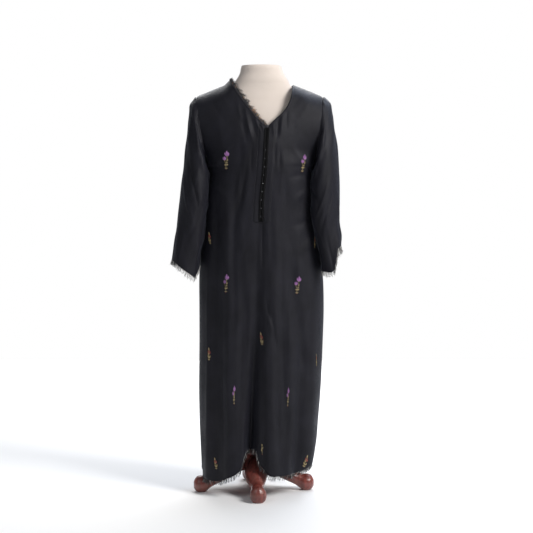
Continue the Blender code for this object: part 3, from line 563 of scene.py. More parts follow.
def grid_quads(rows, columns, around=False, flip=False):
    """The four-sided faces of a grid of points, closed round its columns or open."""
    r = np.arange(rows - 1)[:, None]
    c = np.arange(columns if around else columns - 1)[None, :]
    d = (c + 1) % columns
    corners = np.broadcast_arrays(
        r * columns + c, r * columns + d, (r + 1) * columns + d, (r + 1) * columns + c
    )
    quads = np.stack(corners, axis=-1)
    return quads[..., ::-1] if flip else quads


def solid_wall(made, thickness):
    """Gives a surface its thickness, inwards from its outside."""
    wall = made.modifiers.new("Wall", "SOLIDIFY")
    wall.thickness = thickness
    wall.offset = -1.0
    return made


def keep(made, stands_for=()):
    """Rides the piece on the one body, and hides the model nodes that it stands for."""
    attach(made, "root")
    if stands_for:
        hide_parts(*stands_for)
    return made


def lengths_uv(points):
    """UV in metres: running length along each row from its middle, and up each column."""
    across = np.linalg.norm(np.diff(points, axis=1), axis=2)
    across = np.concatenate([np.zeros((len(points), 1)), np.cumsum(across, axis=1)], axis=1)
    across -= across[:, -1:] / 2
    up = np.linalg.norm(np.diff(points, axis=0), axis=2)
    up = np.concatenate([np.zeros((1, points.shape[1])), np.cumsum(up, axis=0)], axis=0)
    return np.stack([across, up], axis=-1)


def outward_faces(points, quads, middle, *others):
    """The faces, turned round together if the four-sided ones look towards the middle."""
    a, b, d = points[quads[:, 0]], points[quads[:, 1]], points[quads[:, 3]]
    outward = (np.cross(b - a, d - a) * (a - middle)).sum()
    faces = [quads, *others]
    return faces if outward > 0 else [f[:, ::-1] for f in faces]


def closed_loft(rings):
    """Points and faces of a solid through rings: each end is closed with a fan to its middle."""
    rings = np.asarray(rings, float)
    rows, count = rings.shape[:2]
    ends = np.stack([rings[0].mean(axis=0), rings[-1].mean(axis=0)])
    points = np.concatenate([rings.reshape(-1, 3), ends])
    i = np.arange(count)
    j = (i + 1) % count
    first = np.stack([j, i, np.full(count, rows * count)], axis=1)
    top = (rows - 1) * count
    last = np.stack([top + i, top + j, np.full(count, rows * count + 1)], axis=1)
    quads = grid_quads(rows, count, around=True).reshape(-1, 4)
    return points, outward_faces(points, quads, rings.mean(axis=(0, 1)), first, last)


def tubes(centres, radii, sides=3):
    """Points and faces of closed tubes: centres are (tube, ring, 3) and radii are (tube, ring).

    Each ring stands across its tube's own direction, on two vectors made by cross products."""
    count, rings = centres.shape[:2]
    way = unit(np.gradient(centres, axis=1))
    guide = np.array([0.31, -0.87, 0.38])
    first = unit(np.cross(way, guide))
    second = np.cross(way, first)
    turn = np.linspace(0, 2 * math.pi, sides, endpoint=False)
    ring = np.cos(turn)[:, None] * first[:, :, None] + np.sin(turn)[:, None] * second[:, :, None]
    points = centres[:, :, None] + radii[:, :, None, None] * ring
    start = (np.arange(count) * rings * sides)[:, None, None]
    quads = (grid_quads(rings, sides, around=True).reshape(1, -1, 4) + start).reshape(-1, 4)
    cap = np.arange(sides)
    low = (cap[::-1][None] + start[:, 0]).reshape(count, sides)
    high = (cap[None] + (rings - 1) * sides + start[:, 0]).reshape(count, sides)
    if sides == 3 or sides == 4:
        ends = [low, high]
    else:
        fan = np.stack([np.zeros(sides - 2, int), cap[1:-1], cap[2:]], axis=1)
        ends = [low[:, fan].reshape(-1, 3), high[:, fan].reshape(-1, 3)]
    return points.reshape(-1, 3), [quads, *ends]


def spread_tints(tints, centres, sides=3):
    """Each tube's tint, repeated for all its points."""
    return np.repeat(tints, centres.shape[1] * sides)


# ---- the cloth surface -------------------------------------------------------------------------
def section(z, index):
    """One column of BODY_SECTIONS at height z."""
    return smooth_curve(z, column(BODY_SECTIONS, 0), column(BODY_SECTIONS, index))


def ridge_height(x):
    """Height of the shoulder seam above x; across the neck hole it carries on as an unseen ridge."""
    inside = np.minimum(x - NECK_LEFT[0], NECK_RIGHT[0] - x)
    line = np.interp(x, column(SHOULDER_LINE, 0), column(SHOULDER_LINE, 1))
    return line + RIDGE_RISE * np.maximum(inside, 0.0)


def fold_offset(x, z, folds):
    """Sum of the folds: each is a bell across its own line, growing from its top to its bottom."""
    total = np.zeros(np.broadcast(x, z).shape)
    for _, top_x, top_z, end_x, end_z, top_depth, end_depth, left, right in folds:
        along = (top_z - z) / (top_z - end_z)
        middle = top_x + (end_x - top_x) * np.clip(along, 0.0, 1.0)
        depth = top_depth + (end_depth - top_depth) * np.clip(along, 0.0, 1.0)
        fade = smooth_step((top_z - z) / 0.10 + 0.5)
        if end_z > 0.1:
            fade = fade * smooth_step((z - end_z) / 0.10 + 0.5)
        off = x - middle
        spread = np.where(off < 0.0, left, right)
        total = total + depth * fade * np.exp(-((off / spread) ** 2))
    return total


def crease_offset(across, up, creases):
    """Sum of the creases: each is a narrow bell across a bowed line, fading out at both its ends."""
    total = np.zeros(np.broadcast(across, up).shape)
    for start_x, start_z, end_x, end_z, depth, width, bow in creases:
        run_x, run_z = end_x - start_x, end_z - start_z
        length = math.hypot(run_x, run_z)
        along = ((across - start_x) * run_x + (up - start_z) * run_z) / length**2
        held = np.clip(along, 0.0, 1.0)
        off = ((across - start_x) * run_z - (up - start_z) * run_x) / length
        off = off - bow * 4 * held * (1 - held)
        fade = np.sin(math.pi * np.clip((along + 0.18) / 1.36, 0.0, 1.0)) ** 1.3
        total = total + depth * fade * np.exp(-np.abs(off / width) ** 1.7)
    return total


def ripples(across, up, seed, count=26, wide=(0.022, 0.110), tall=(0.09, 0.40), steep=0.0075):
    """Sum of slow sine waves of seeded direction: each is as high as `steep` times its own width."""
    rng = np.random.default_rng(seed)
    total = np.zeros(np.broadcast(across, up).shape)
    for _ in range(count):
        width = rng.uniform(*wide)
        height = rng.uniform(*tall) * rng.choice((-1.0, 1.0))
        wave = np.sin(2 * math.pi * (across / width + up / height) + rng.uniform(0, 2 * math.pi))
        total = total + steep * width * wave / math.sqrt(count / 4)
    return total


def cloth(x, z, side, lift=0.0):
    """The cloth's point over (x, z): side is -1 for the front and +1 for the back."""
    x, z = np.broadcast_arrays(np.asarray(x, float), np.asarray(z, float))
    left = section(z, 1)
    right = section(z, 2)
    deep = section(z, 3 if side < 0 else 4)
    power = section(z, 5)
    middle = (left + right) / 2
    half = (right - left) / 2
    across = np.clip(np.abs(x - middle) / half, 0.0, 1.0)
    risen = smooth_step((z - UNDERARM_Z) / 0.060)
    rounded = (1 - across**power) ** (1 / power + (1 - 1 / power) * risen)
    armhole_top = np.maximum(ridge_height(x), UNDERARM_Z + 0.1)
    armhole_middle = (UNDERARM_Z + armhole_top) / 2
    armhole_half = (armhole_top - UNDERARM_Z) / 2
    round_arm = np.maximum(1 - ((z - armhole_middle) / armhole_half) ** 2, 0.0)
    ease = 0.30 * (1 - across) + 1e-9
    edge = ARMHOLE_HALF_DEPTH * round_arm**1.5 / (round_arm + ease)
    rolled = np.clip((ridge_height(x) - z) / SHOULDER_ROLL, 0.0, 1.0)
    roll = np.sqrt(1 - (1 - rolled) ** 2)
    depth = edge + (deep * roll - edge) * rounded
    out_x = np.sign(x - middle) * across ** (power - 1) / half
    out_y = np.maximum(1 - across**power, 0.0) ** (1 - 1 / power) / deep
    size = np.hypot(out_x, out_y)
    calm = (1 - across**8) * smooth_step((ridge_height(x) - z) / 0.030)
    slack = 0.35 + 0.65 * smooth_step((1.12 - z) / 0.5)
    fine = crease_offset(x, z, FRONT_CREASES if side < 0 else BACK_CREASES)
    fine = fine + slack * ripples(x, z, 11 if side < 0 else 23)
    push = fold_offset(x, z, FRONT_FOLDS if side < 0 else BACK_FOLDS) + fine * calm + lift
    return np.stack([x + push * out_x / size, side * (depth + push * out_y / size), z], axis=-1)


def share_of_turn(turn):
    """Place across the panel, -1 to 1 and crowded towards the seams, for a turn of -1 to 1."""
    bent = np.sin(np.asarray(turn, float) * math.pi / 2)
    return np.sign(bent) * np.abs(bent) ** (2 / SIDE_POWER)


def turn_at_top(x):
    """The turn whose column ends at x on the shoulder line."""
    share = (x - SHOULDER_MIDDLE) / SHOULDER_HALF
    return math.copysign(2 / math.pi * math.asin(abs(share) ** (SIDE_POWER / 2)), share)


def slit_share(side, turn):
    """How much the panel gives way at the hem, on the side of the turn."""
    left, right = FRONT_SLIT if side < 0 else BACK_SLIT
    return np.where(np.asarray(turn) < 0, left, right)


def column_x(turn, z, side=-1):
    """Base x of a panel column at height z: it leans with the opening and gives way at the slits."""
    slit = slit_share(side, turn) * smooth_step((SLIT_TOP_Z - z) / (SLIT_TOP_Z - SLIT_LOW_Z))
    share = share_of_turn(turn * (1 - slit))
    left = section(z, 1)
    right = section(z, 2)
    lean = PLACKET_LEAN * smooth_step((LEAN_TOP_Z - z) / (LEAN_TOP_Z - LEAN_LOW_Z))
    lean = lean * (side < 0)
    return (left + right) / 2 + (right - left) / 2 * share - lean * (1 - share**2)


def neck_edge(x, side):
    """Height of the neckline over x."""
    if side < 0:
        left = smooth_curve(x, column(FRONT_NECK_LEFT, 0), column(FRONT_NECK_LEFT, 1))
        right = smooth_curve(x, column(FRONT_NECK_RIGHT, 0), column(FRONT_NECK_RIGHT, 1))
        return np.where(np.asarray(x) < V_POINT[0], left, right)
    place = np.clip((x - NECK_LEFT[0]) / (NECK_RIGHT[0] - NECK_LEFT[0]), 0.0, 1.0)
    straight = NECK_LEFT[1] + (NECK_RIGHT[1] - NECK_LEFT[1]) * place
    return straight - BACK_NECK_DROP * np.sin(math.pi * place) ** 0.7


def panel_base(side, turns, rises):
    """Base (x, z) of a panel's grid: turns run from seam to seam, and rises from hem to top edge."""
    turn, rise = np.meshgrid(turns, rises)
    hem_table = FRONT_HEM if side < 0 else BACK_HEM
    hem_x = share_of_turn(turn * (1 - slit_share(side, turn))) * HEM_HALF
    hem = smooth_curve(hem_x, column(hem_table, 0), column(hem_table, 1))
    top_x = SHOULDER_MIDDLE + SHOULDER_HALF * share_of_turn(turn)
    in_neck = (top_x > NECK_LEFT[0]) & (top_x < NECK_RIGHT[0])
    top = np.where(in_neck, neck_edge(top_x, side), ridge_height(top_x))
    low = 1.0 - RISE_SHARE
    z = np.where(
        rise <= low,
        hem + (RISE_Z - hem) * rise / low,
        RISE_Z + (top - RISE_Z) * (rise - low) / RISE_SHARE,
    )
    return column_x(turn, z, side), z


def stretch_between(*stops):
    """Values through the stops, given as (value, how many steps to the next stop)."""
    values = []
    for (start, steps), (end, _) in zip(stops, stops[1:]):
        values += list(np.linspace(start, end, steps, endpoint=False))
    return np.array(values + [stops[-1][0]])


def placket_x(z):
    """Base x of the front opening at height z."""
    return column_x(turn_at_top(V_POINT[0]), z)


def sleeve_points(table, cuff, sign):
    """Points of a sleeve's outside: each ring is a stretched round between its outer and inner end.

    It is pushed in and out along its own normal by SLEEVE_CREASES and slow ripples."""
    steps = np.arange(len(table))
    along = np.linspace(0.0, len(table) - 1, SLEEVE_ROWS)
    picked = [smooth_curve(along, steps, column(table, i))[:, None] for i in range(7)]
    outer_x, outer_z, inner_x, inner_z, front, back, middle_y = picked
    angle = np.linspace(0, 2 * math.pi, SLEEVE_COLUMNS, endpoint=False)[None, :]
    cos, sin = np.cos(angle), np.sin(angle)
    x = (outer_x + inner_x) / 2 + (outer_x - inner_x) / 2 * cos
    z = (outer_z + inner_z) / 2 + (outer_z - inner_z) / 2 * cos
    carried = smooth_step(along / 2.5) * (1 - smooth_step((along - 5.5) / 3.5))
    y = middle_y - np.where(sin > 0, front, back) * sin
    y = y - SLEEVE_SKEW * carried[:, None] * (1 - cos) / 2
    # the inner side lies a little over the body, and the head laps over the shoulder's end
    over = smooth_step((along - 0.6) / 1.2) * (1 - 0.85 * smooth_step((along - 8.2) / 1.2))
    head = 1 - smooth_step(along / 1.0)
    lap = SLEEVE_LAP * head[:, None] * np.maximum(cos, 0.0)
    x = x - sign * (SLEEVE_OVER * over[:, None] * (1 - cos) / 2 + lap)
    z = z + lap
    rise = np.interp(np.degrees(angle), column(cuff, 0), column(cuff, 1))
    weight = smooth_step((along[:, None] - CUFF_DIP_FROM) / (len(table) - 1 - CUFF_DIP_FROM))
    z = z + rise * weight
    points = np.stack(np.broadcast_arrays(x, y, z), axis=-1)
    # turn 0 is at the outside of the arm, a quarter turn at the front; creases wrap round
    reach = 2 * math.pi * SLEEVE_REACH
    turn = angle * SLEEVE_REACH * (1 if sign < 0 else -1) % reach
    down = along[:, None] * SLEEVE_STEP
    offset = crease_offset(turn, down, SLEEVE_CREASES)
    # the ripples are crossed over to themselves once round, so that the seamless ring closes
    settings = {"seed": 37 if sign < 0 else 41, "wide": (reach / 9, reach / 3), "tall": (0.07, 0.3)}
    waves = ripples(turn, down, **settings)
    again = ripples(turn - reach, down, **settings)
    part = turn / reach
    offset = offset + (waves * (1 - part) + again * part)
    # the head of the sleeve is eased into the armhole in small puckers
    eased = SLEEVE_PUCKER * np.sin(22 * angle + 1.5 * np.sin(3 * angle))
    offset = offset * smooth_step(along[:, None] / 0.7)
    near_seam = smooth_step(along / 0.12)[:, None] * smooth_step(1 - along / 0.9)[:, None]
    offset = offset + eased * near_seam
    # the head of the sleeve is puffed a little over the shoulder's end
    puff = SLEEVE_PUFF * smooth_step((along + 0.1) / 0.3) * smooth_step((3 - along) / 2.5)
    offset = offset + puff[:, None] * np.maximum(cos, 0.0) ** 1.5
    return points + offset[..., None] * ring_normals(points)


def ring_normals(points):
    """Unit normals of a grid that closes round its columns, facing out."""
    down = np.gradient(points, axis=0)
    across = np.roll(points, -1, axis=1) - np.roll(points, 1, axis=1)
    normal = unit(np.cross(across, down))
    middle = points.mean(axis=1, keepdims=True)
    facing = np.sign((normal * (points - middle)).sum(axis=2).mean())
    return normal * facing


def along_line(points, share):
    """Points at the given shares (0 to 1) of a polyline's length, and the unit direction there."""
    gone = np.concatenate([[0.0], np.cumsum(np.linalg.norm(np.diff(points, axis=0), axis=1))])
    at = np.asarray(share) * gone[-1]
    found = np.stack([np.interp(at, gone, points[:, i]) for i in range(3)], axis=-1)
    step = gone[-1] / 400
    ahead = np.stack([np.interp(at + step, gone, points[:, i]) for i in range(3)], axis=-1)
    behind = np.stack([np.interp(at - step, gone, points[:, i]) for i in range(3)], axis=-1)
    return found, unit(ahead - behind), gone[-1]


def hanging_threads(edge, above, count, longest, clump, radius, pale, seed, closed=False):
    """Frayed threads below an edge: thin tapering tubes from evenly jittered places along it.

    Each runs on in the cloth's own direction (edge minus above), curls by two seeded sines and leans
    to the middle of its clump.  Its length is `longest` times its clump's share and its own share."""
    rng = np.random.default_rng(seed)
    line = np.concatenate([edge, edge[:1]]) if closed else edge
    upper = np.concatenate([above, above[:1]]) if closed else above
    share = (np.arange(count) + rng.uniform(0.1, 0.9, count)) / count
    roots, way, length = along_line(line, share)
    over, _, _ = along_line(upper, share)
    down = unit(roots - over)
    clumps = max(int(length / clump), 1)
    bent = share * clumps + 0.25 * np.sin(share * clumps * 1.7)
    group = np.floor(bent).astype(int)
    seat = rng.uniform(0.66, 1.0, clumps + 3)[group]
    own = rng.uniform(0.66, 1.0, count)
    reach = longest * seat * own
    lean = (np.floor(bent) + 0.5 - bent) * length / clumps * rng.uniform(0.7, 1.15, count)
    t = np.linspace(0.0, 1.0, 6)[None, :, None]
    face = unit(np.cross(way, down))
    curl = rng.normal(0.0, 1.0, (4, count, 1, 1)) * reach[:, None, None] * 0.16
    phase = rng.uniform(0.0, 6.28, (2, count, 1, 1))
    centres = (
        roots[:, None] - 0.0012 * down[:, None] * (1 - t)
        + down[:, None] * reach[:, None, None] * (t - 0.08 * t * t)
        + way[:, None] * (lean[:, None, None] * t + curl[0] * np.sin(3.4 * t + phase[0]) * t)
        + face[:, None] * (curl[1] * np.sin(3.0 * t + phase[1]) * t)
    )
    radii = radius * rng.uniform(0.7, 1.3, count)[:, None] * (1 - 0.5 * t[..., 0])
    chance = np.clip(2.2 * pale * rng.random(clumps + 3) - 0.05, 0.0, 0.9)[group]
    is_pale = rng.random(count) < chance
    tint = np.where(is_pale, rng.uniform(0.6, 1.0, count), rng.uniform(0, 0.12, count))
    points, faces = tubes(centres, radii)
    return points, faces, spread_tints(tint, centres)


def put_joined(name, finish, *parts):
    """One object from several (points, faces, tints), each part's face numbers moved on."""
    points, faces, tints, start = [], [], [], 0
    for part_points, part_faces, part_tints in parts:
        points.append(part_points)
        faces += [np.asarray(f) + start for f in part_faces]
        tints.append(part_tints)
        start += len(part_points)
    return put_mesh(name, np.concatenate(points), faces, finish, tints=np.concatenate(tints))


# ---- finishes ----------------------------------------------------------------------------------
def new_group(name, inputs, outputs):
    """A shader node group with named sockets; returns the group, its input node and output node."""
    group = bpy.data.node_groups.new(name, "ShaderNodeTree")
    for label, kind, value in inputs:
        socket = group.interface.new_socket(label, in_out="INPUT", socket_type=kind)
        if value is not None:
            socket.default_value = value
    for label, kind in outputs:
        group.interface.new_socket(label, in_out="OUTPUT", socket_type=kind)
    return group, group.nodes.new("NodeGroupInput"), group.nodes.new("NodeGroupOutput")


def node(tree, kind, **settings):
    """A node with its settings; names that end in _in are the values of its input sockets."""
    made = tree.nodes.new(kind)
    for key, value in settings.items():
        if key.endswith("_in"):
            made.inputs[key[:-3].replace("_", " ")].default_value = value
        else:
            setattr(made, key, value)
    return made


def maths(tree, operation, first, second=None, clamp=False):
    """A Math node; first and second are sockets or plain numbers.  Returns its output socket."""
    made = node(tree, "ShaderNodeMath", operation=operation, use_clamp=clamp)
    for place, value in enumerate((first, second)):
        if value is None:
            continue
        if isinstance(value, (int, float)):
            made.inputs[place].default_value = value
        else:
            tree.links.new(value, made.inputs[place])
    return made.outputs[0]


def mapped(tree, value, low, high, to_low, to_high):
    """A Map Range node on a socket.  Returns its output socket."""
    made = node(tree, "ShaderNodeMapRange")
    made.inputs["From Min"].default_value = low
    made.inputs["From Max"].default_value = high
    made.inputs["To Min"].default_value = to_low
    made.inputs["To Max"].default_value = to_high
    tree.links.new(value, made.inputs["Value"])
    return made.outputs[0]


def blended(tree, share, first, second):
    """A colour mix; first and second are colours or sockets.  Returns its colour socket."""
    made = node(tree, "ShaderNodeMix", data_type="RGBA")
    tree.links.new(share, made.inputs["Factor"])
    for label, value in (("A", first), ("B", second)):
        socket = [s for s in made.inputs if s.name == label and s.type == "RGBA"][0]
        if isinstance(value, bpy.types.NodeSocket):
            tree.links.new(value, socket)
        else:
            socket.default_value = (*value[:3], 1.0)
    return [s for s in made.outputs if s.type == "RGBA"][0]


def placed_group(tree, group, vector, **values):
    """A group node fed with a vector and its own values."""
    made = tree.nodes.new("ShaderNodeGroup")
    made.node_tree = group
    tree.links.new(vector, made.inputs["Vector"])
    for key, value in values.items():
        made.inputs[key.replace("_", " ")].default_value = value
    return made


def crepe_group():
    """Crepe: fine warp and weft waves broken by noise, and the faint slubs and clouds of worn cloth.

    Height = 0.5 + 0.2 * sin(warp) + 0.2 * sin(weft) + noise, on UV in metres."""
    if "crepe_weave" in bpy.data.node_groups:
        return bpy.data.node_groups["crepe_weave"]
    group, start, end = new_group(
        "crepe_weave",
        (("Vector", "NodeSocketVector", None), ("Threads", "NodeSocketFloat", 1500.0)),
        (("Height", "NodeSocketFloat"), ("Clouds", "NodeSocketFloat"), ("Slubs", "NodeSocketFloat")),
    )
    link = group.links.new
    grain = node(group, "ShaderNodeTexNoise", Detail_in=3.0, Roughness_in=0.6)
    link(start.outputs["Vector"], grain.inputs["Vector"])
    link(start.outputs["Threads"], grain.inputs["Scale"])
    waves = []
    for direction in ("X", "Y"):
        wave = node(group, "ShaderNodeTexWave", bands_direction=direction, Distortion_in=1.6, Detail_in=1.0)
        link(start.outputs["Vector"], wave.inputs["Vector"])
        link(start.outputs["Threads"], wave.inputs["Scale"])
        waves.append(maths(group, "MULTIPLY", wave.outputs["Fac"], 0.22))
    height = maths(
        group, "ADD", maths(group, "ADD", *waves), maths(group, "MULTIPLY", grain.outputs["Fac"], 0.56)
    )
    link(height, end.inputs["Height"])
    clouds = node(group, "ShaderNodeTexNoise", Scale_in=9.0, Detail_in=4.0, Roughness_in=0.62)
    link(start.outputs["Vector"], clouds.inputs["Vector"])
    link(mapped(group, clouds.outputs["Fac"], 0.32, 0.68, 0.0, 1.0), end.inputs["Clouds"])
    stretch = node(group, "ShaderNodeMapping")
    stretch.inputs["Scale"].default_value = (420.0, 14.0, 1.0)
    link(start.outputs["Vector"], stretch.inputs["Vector"])
    slubs = node(group, "ShaderNodeTexNoise", Scale_in=1.0, Detail_in=2.0)
    link(stretch.outputs["Vector"], slubs.inputs["Vector"])
    link(mapped(group, slubs.outputs["Fac"], 0.52, 0.78, 0.0, 1.0), end.inputs["Slubs"])
    return group


def twist_group():
    """Spun thread: slanted ply lines along a thread and fine fuzz.  Height = wave + noise."""
    if "thread_twist" in bpy.data.node_groups:
        return bpy.data.node_groups["thread_twist"]
    group, start, end = new_group(
        "thread_twist",
        (("Vector", "NodeSocketVector", None), ("Scale", "NodeSocketFloat", 900.0)),
        (("Height", "NodeSocketFloat"), ("Shade", "NodeSocketFloat")),
    )
    link = group.links.new
    wave = node(group, "ShaderNodeTexWave", bands_direction="DIAGONAL", Distortion_in=2.2, Detail_in=2.0)
    fuzz = node(group, "ShaderNodeTexNoise", Detail_in=3.0)
    for made in (wave, fuzz):
        link(start.outputs["Vector"], made.inputs["Vector"])
        link(start.outputs["Scale"], made.inputs["Scale"])
    link(
        maths(
            group,
            "ADD",
            maths(group, "MULTIPLY", wave.outputs["Fac"], 0.7),
            maths(group, "MULTIPLY", fuzz.outputs["Fac"], 0.3),
        ),
        end.inputs["Height"],
    )
    link(mapped(group, fuzz.outputs["Fac"], 0.3, 0.7, 0.0, 1.0), end.inputs["Shade"])
    return group


def wood_group():
    """Stained wood: long grain lines, pores and the worn, paler patches of handled edges."""
    if "stained_grain" in bpy.data.node_groups:
        return bpy.data.node_groups["stained_grain"]
    group, start, end = new_group(
        "stained_grain",
        (("Vector", "NodeSocketVector", None), ("Scale", "NodeSocketFloat", 1.0)),
        (("Grain", "NodeSocketFloat"), ("Pores", "NodeSocketFloat"), ("Wear", "NodeSocketFloat")),
    )
    link = group.links.new
    sized = node(group, "ShaderNodeVectorMath", operation="SCALE")
    link(start.outputs["Vector"], sized.inputs[0])
    link(start.outputs["Scale"], sized.inputs["Scale"])
    stretch = node(group, "ShaderNodeMapping")
    stretch.inputs["Scale"].default_value = (42.0, 42.0, 5.0)
    link(sized.outputs[0], stretch.inputs["Vector"])
    rings = node(
        group, "ShaderNodeTexNoise", Scale_in=1.6, Detail_in=5.0, Roughness_in=0.6, Distortion_in=0.7
    )
    link(stretch.outputs["Vector"], rings.inputs["Vector"])
    link(mapped(group, rings.outputs["Fac"], 0.34, 0.66, 0.0, 1.0), end.inputs["Grain"])
    pores = node(group, "ShaderNodeTexNoise", Scale_in=16.0, Detail_in=2.0)
    link(stretch.outputs["Vector"], pores.inputs["Vector"])
    link(mapped(group, pores.outputs["Fac"], 0.55, 0.75, 0.0, 1.0), end.inputs["Pores"])
    wear = node(group, "ShaderNodeTexNoise", Scale_in=26.0, Detail_in=4.0)
    link(sized.outputs[0], wear.inputs["Vector"])
    link(mapped(group, wear.outputs["Fac"], 0.50, 0.72, 0.0, 1.0), end.inputs["Wear"])
    return group


def jersey_group():
    """Knitted jersey: small upright loops in rows with soft wear.  Height = |sin| * |sin| + noise."""
    if "jersey_knit" in bpy.data.node_groups:
        return bpy.data.node_groups["jersey_knit"]
    group, start, end = new_group(
        "jersey_knit",
        (("Vector", "NodeSocketVector", None), ("Loops", "NodeSocketFloat", 900.0)),
        (("Height", "NodeSocketFloat"), ("Soil", "NodeSocketFloat")),
    )
    link = group.links.new
    waves = []
    for direction in ("X", "Y"):
        wave = node(group, "ShaderNodeTexWave", bands_direction=direction, Distortion_in=0.8, Detail_in=1.0)
        link(start.outputs["Vector"], wave.inputs["Vector"])
        link(start.outputs["Loops"], wave.inputs["Scale"])
        waves.append(wave.outputs["Fac"])
    link(maths(group, "MULTIPLY", *waves), end.inputs["Height"])
    soil = node(group, "ShaderNodeTexNoise", Scale_in=14.0, Detail_in=5.0, Roughness_in=0.6)
    link(start.outputs["Vector"], soil.inputs["Vector"])
    link(mapped(group, soil.outputs["Fac"], 0.36, 0.70, 0.0, 1.0), end.inputs["Soil"])
    return group


def new_material(name):
    """A material with a Principled shader; returns it, its tree and the shader."""
    made = bpy.data.materials.new(name)
    made.use_nodes = True
    return made, made.node_tree, made.node_tree.nodes["Principled BSDF"]


def bumped(tree, shader, height, strength, distance):
    """Feeds a height into the shader's Normal through a Bump node."""
    bump = node(tree, "ShaderNodeBump", Strength_in=strength, Distance_in=distance)
    tree.links.new(height, bump.inputs["Height"])
    tree.links.new(bump.outputs["Normal"], shader.inputs["Normal"])


def crepe_finish(name="black_crepe_cloth", lighter=1.0):
    """Black crepe: near black, with a cool soft sheen, matt grain and faint worn clouds."""
    if name in bpy.data.materials:
        return bpy.data.materials[name]
    look = bpy.context.scene.kurta_cloth
    made, tree, shader = new_material(name)
    where = node(tree, "ShaderNodeUVMap", uv_map="Cloth")
    weave = placed_group(tree, crepe_group(), where.outputs["UV"], Threads=look.threads)
    deep = tuple(0.80 * lighter * c for c in look.colour)
    worn = tuple(1.45 * lighter * c for c in look.colour)
    cloudy = blended(tree, weave.outputs["Clouds"], deep, worn)
    slubbed = blended(
        tree,
        maths(tree, "MULTIPLY", weave.outputs["Slubs"], 0.35),
        cloudy,
        tuple(2.6 * c for c in look.colour),
    )
    tree.links.new(slubbed, shader.inputs["Base Color"])
    tree.links.new(mapped(tree, weave.outputs["Clouds"], 0.0, 1.0, 0.62, 0.50), shader.inputs["Roughness"])
    shader.inputs["IOR"].default_value = 1.29
    shader.inputs["Sheen Weight"].default_value = look.sheen
    shader.inputs["Sheen Roughness"].default_value = 0.42
    shader.inputs["Sheen Tint"].default_value = (0.62, 0.68, 0.84, 1.0)
    bumped(tree, shader, weave.outputs["Height"], 0.55, 0.00045)
    return made


def thread_finish(name, dark, pale, sheen=0.3, roughness=0.62, scale=900.0, attribute="tint"):
    """Spun thread whose colour goes from dark to pale with each thread's own tint."""
    if name in bpy.data.materials:
        return bpy.data.materials[name]
    made, tree, shader = new_material(name)
    place = node(tree, "ShaderNodeTexCoord")
    tint = node(tree, "ShaderNodeAttribute", attribute_name=attribute)
    twist = placed_group(tree, twist_group(), place.outputs["Object"], Scale=scale)
    colour = blended(tree, tint.outputs["Fac"], dark, pale)
    shaded = blended(
        tree, maths(tree, "MULTIPLY", twist.outputs["Shade"], 0.30), colour, tuple(0.5 * c for c in dark)
    )
    tree.links.new(shaded, shader.inputs["Base Color"])
    tree.links.new(
        mapped(tree, twist.outputs["Shade"], 0.0, 1.0, roughness - 0.10, roughness + 0.12),
        shader.inputs["Roughness"],
    )
    shader.inputs["IOR"].default_value = 1.25
    shader.inputs["Sheen Weight"].default_value = sheen
    shader.inputs["Sheen Roughness"].default_value = 0.4
    bumped(tree, shader, twist.outputs["Height"], 0.5, 0.0003)
    return made


def flecked_finish(name):
    """The neck trim's threads: black, with cream and rust coloured flecks chosen by the tint."""
    if name in bpy.data.materials:
        return bpy.data.materials[name]
    look = bpy.context.scene.kurta_trim
    made, tree, shader = new_material(name)
    place = node(tree, "ShaderNodeTexCoord")
    tint = node(tree, "ShaderNodeAttribute", attribute_name="tint")
    ramp = node(tree, "ShaderNodeValToRGB")
    stops = ramp.color_ramp.elements
    stops[0].color = (*look.lace, 1.0)
    stops[1].color = (*look.cream_fleck, 1.0)
    stops[0].position = 0.40
    stops[1].position = 0.56
    rust = stops.new(0.85)
    rust.color = (*look.rust_fleck, 1.0)
    tree.links.new(tint.outputs["Fac"], ramp.inputs["Fac"])
    twist = placed_group(tree, twist_group(), place.outputs["Object"], Scale=1100.0)
    shaded = blended(
        tree, maths(tree, "MULTIPLY", twist.outputs["Shade"], 0.35), ramp.outputs["Color"], look.lace
    )
    tree.links.new(shaded, shader.inputs["Base Color"])
    tree.links.new(mapped(tree, twist.outputs["Shade"], 0.0, 1.0, 0.5, 0.75), shader.inputs["Roughness"])
    shader.inputs["Sheen Weight"].default_value = 0.25
    bumped(tree, shader, twist.outputs["Height"], 0.5, 0.0003)
    return made


def satin_finish(name, shaded, lit):
    """Satin stitch: fine ridges across each petal or leaf on its own UV, with a silky coat, and painted
    light: each patch's tint takes its colour from a painted shaded copy to a painted lit one.
    """
    if name in bpy.data.materials:
        return bpy.data.materials[name]
    made, tree, shader = new_material(name)
    where = node(tree, "ShaderNodeUVMap", uv_map="Cloth")
    tint = node(tree, "ShaderNodeAttribute", attribute_name="tint")
    wave = node(
        tree,
        "ShaderNodeTexWave",
        bands_direction="X",
        Scale_in=520.0,
        Distortion_in=1.4,
        Detail_in=2.0,
        Detail_Scale_in=2.0,
    )
    tree.links.new(where.outputs["UV"], wave.inputs["Vector"])
    # painted light: the tint goes from the shaded copy of the thread colour to the lit one
    colour = blended(tree, tint.outputs["Fac"], shaded, lit)
    lined = blended(
        tree, maths(tree, "MULTIPLY", wave.outputs["Fac"], 0.35), colour, tuple(0.35 * c for c in shaded)
    )
    tree.links.new(lined, shader.inputs["Base Color"])
    tree.links.new(mapped(tree, wave.outputs["Fac"], 0.0, 1.0, 0.34, 0.52), shader.inputs["Roughness"])
    shader.inputs["Sheen Weight"].default_value = 0.35
    shader.inputs["Sheen Roughness"].default_value = 0.3
    bumped(tree, shader, wave.outputs["Fac"], 0.6, 0.0003)
    return made


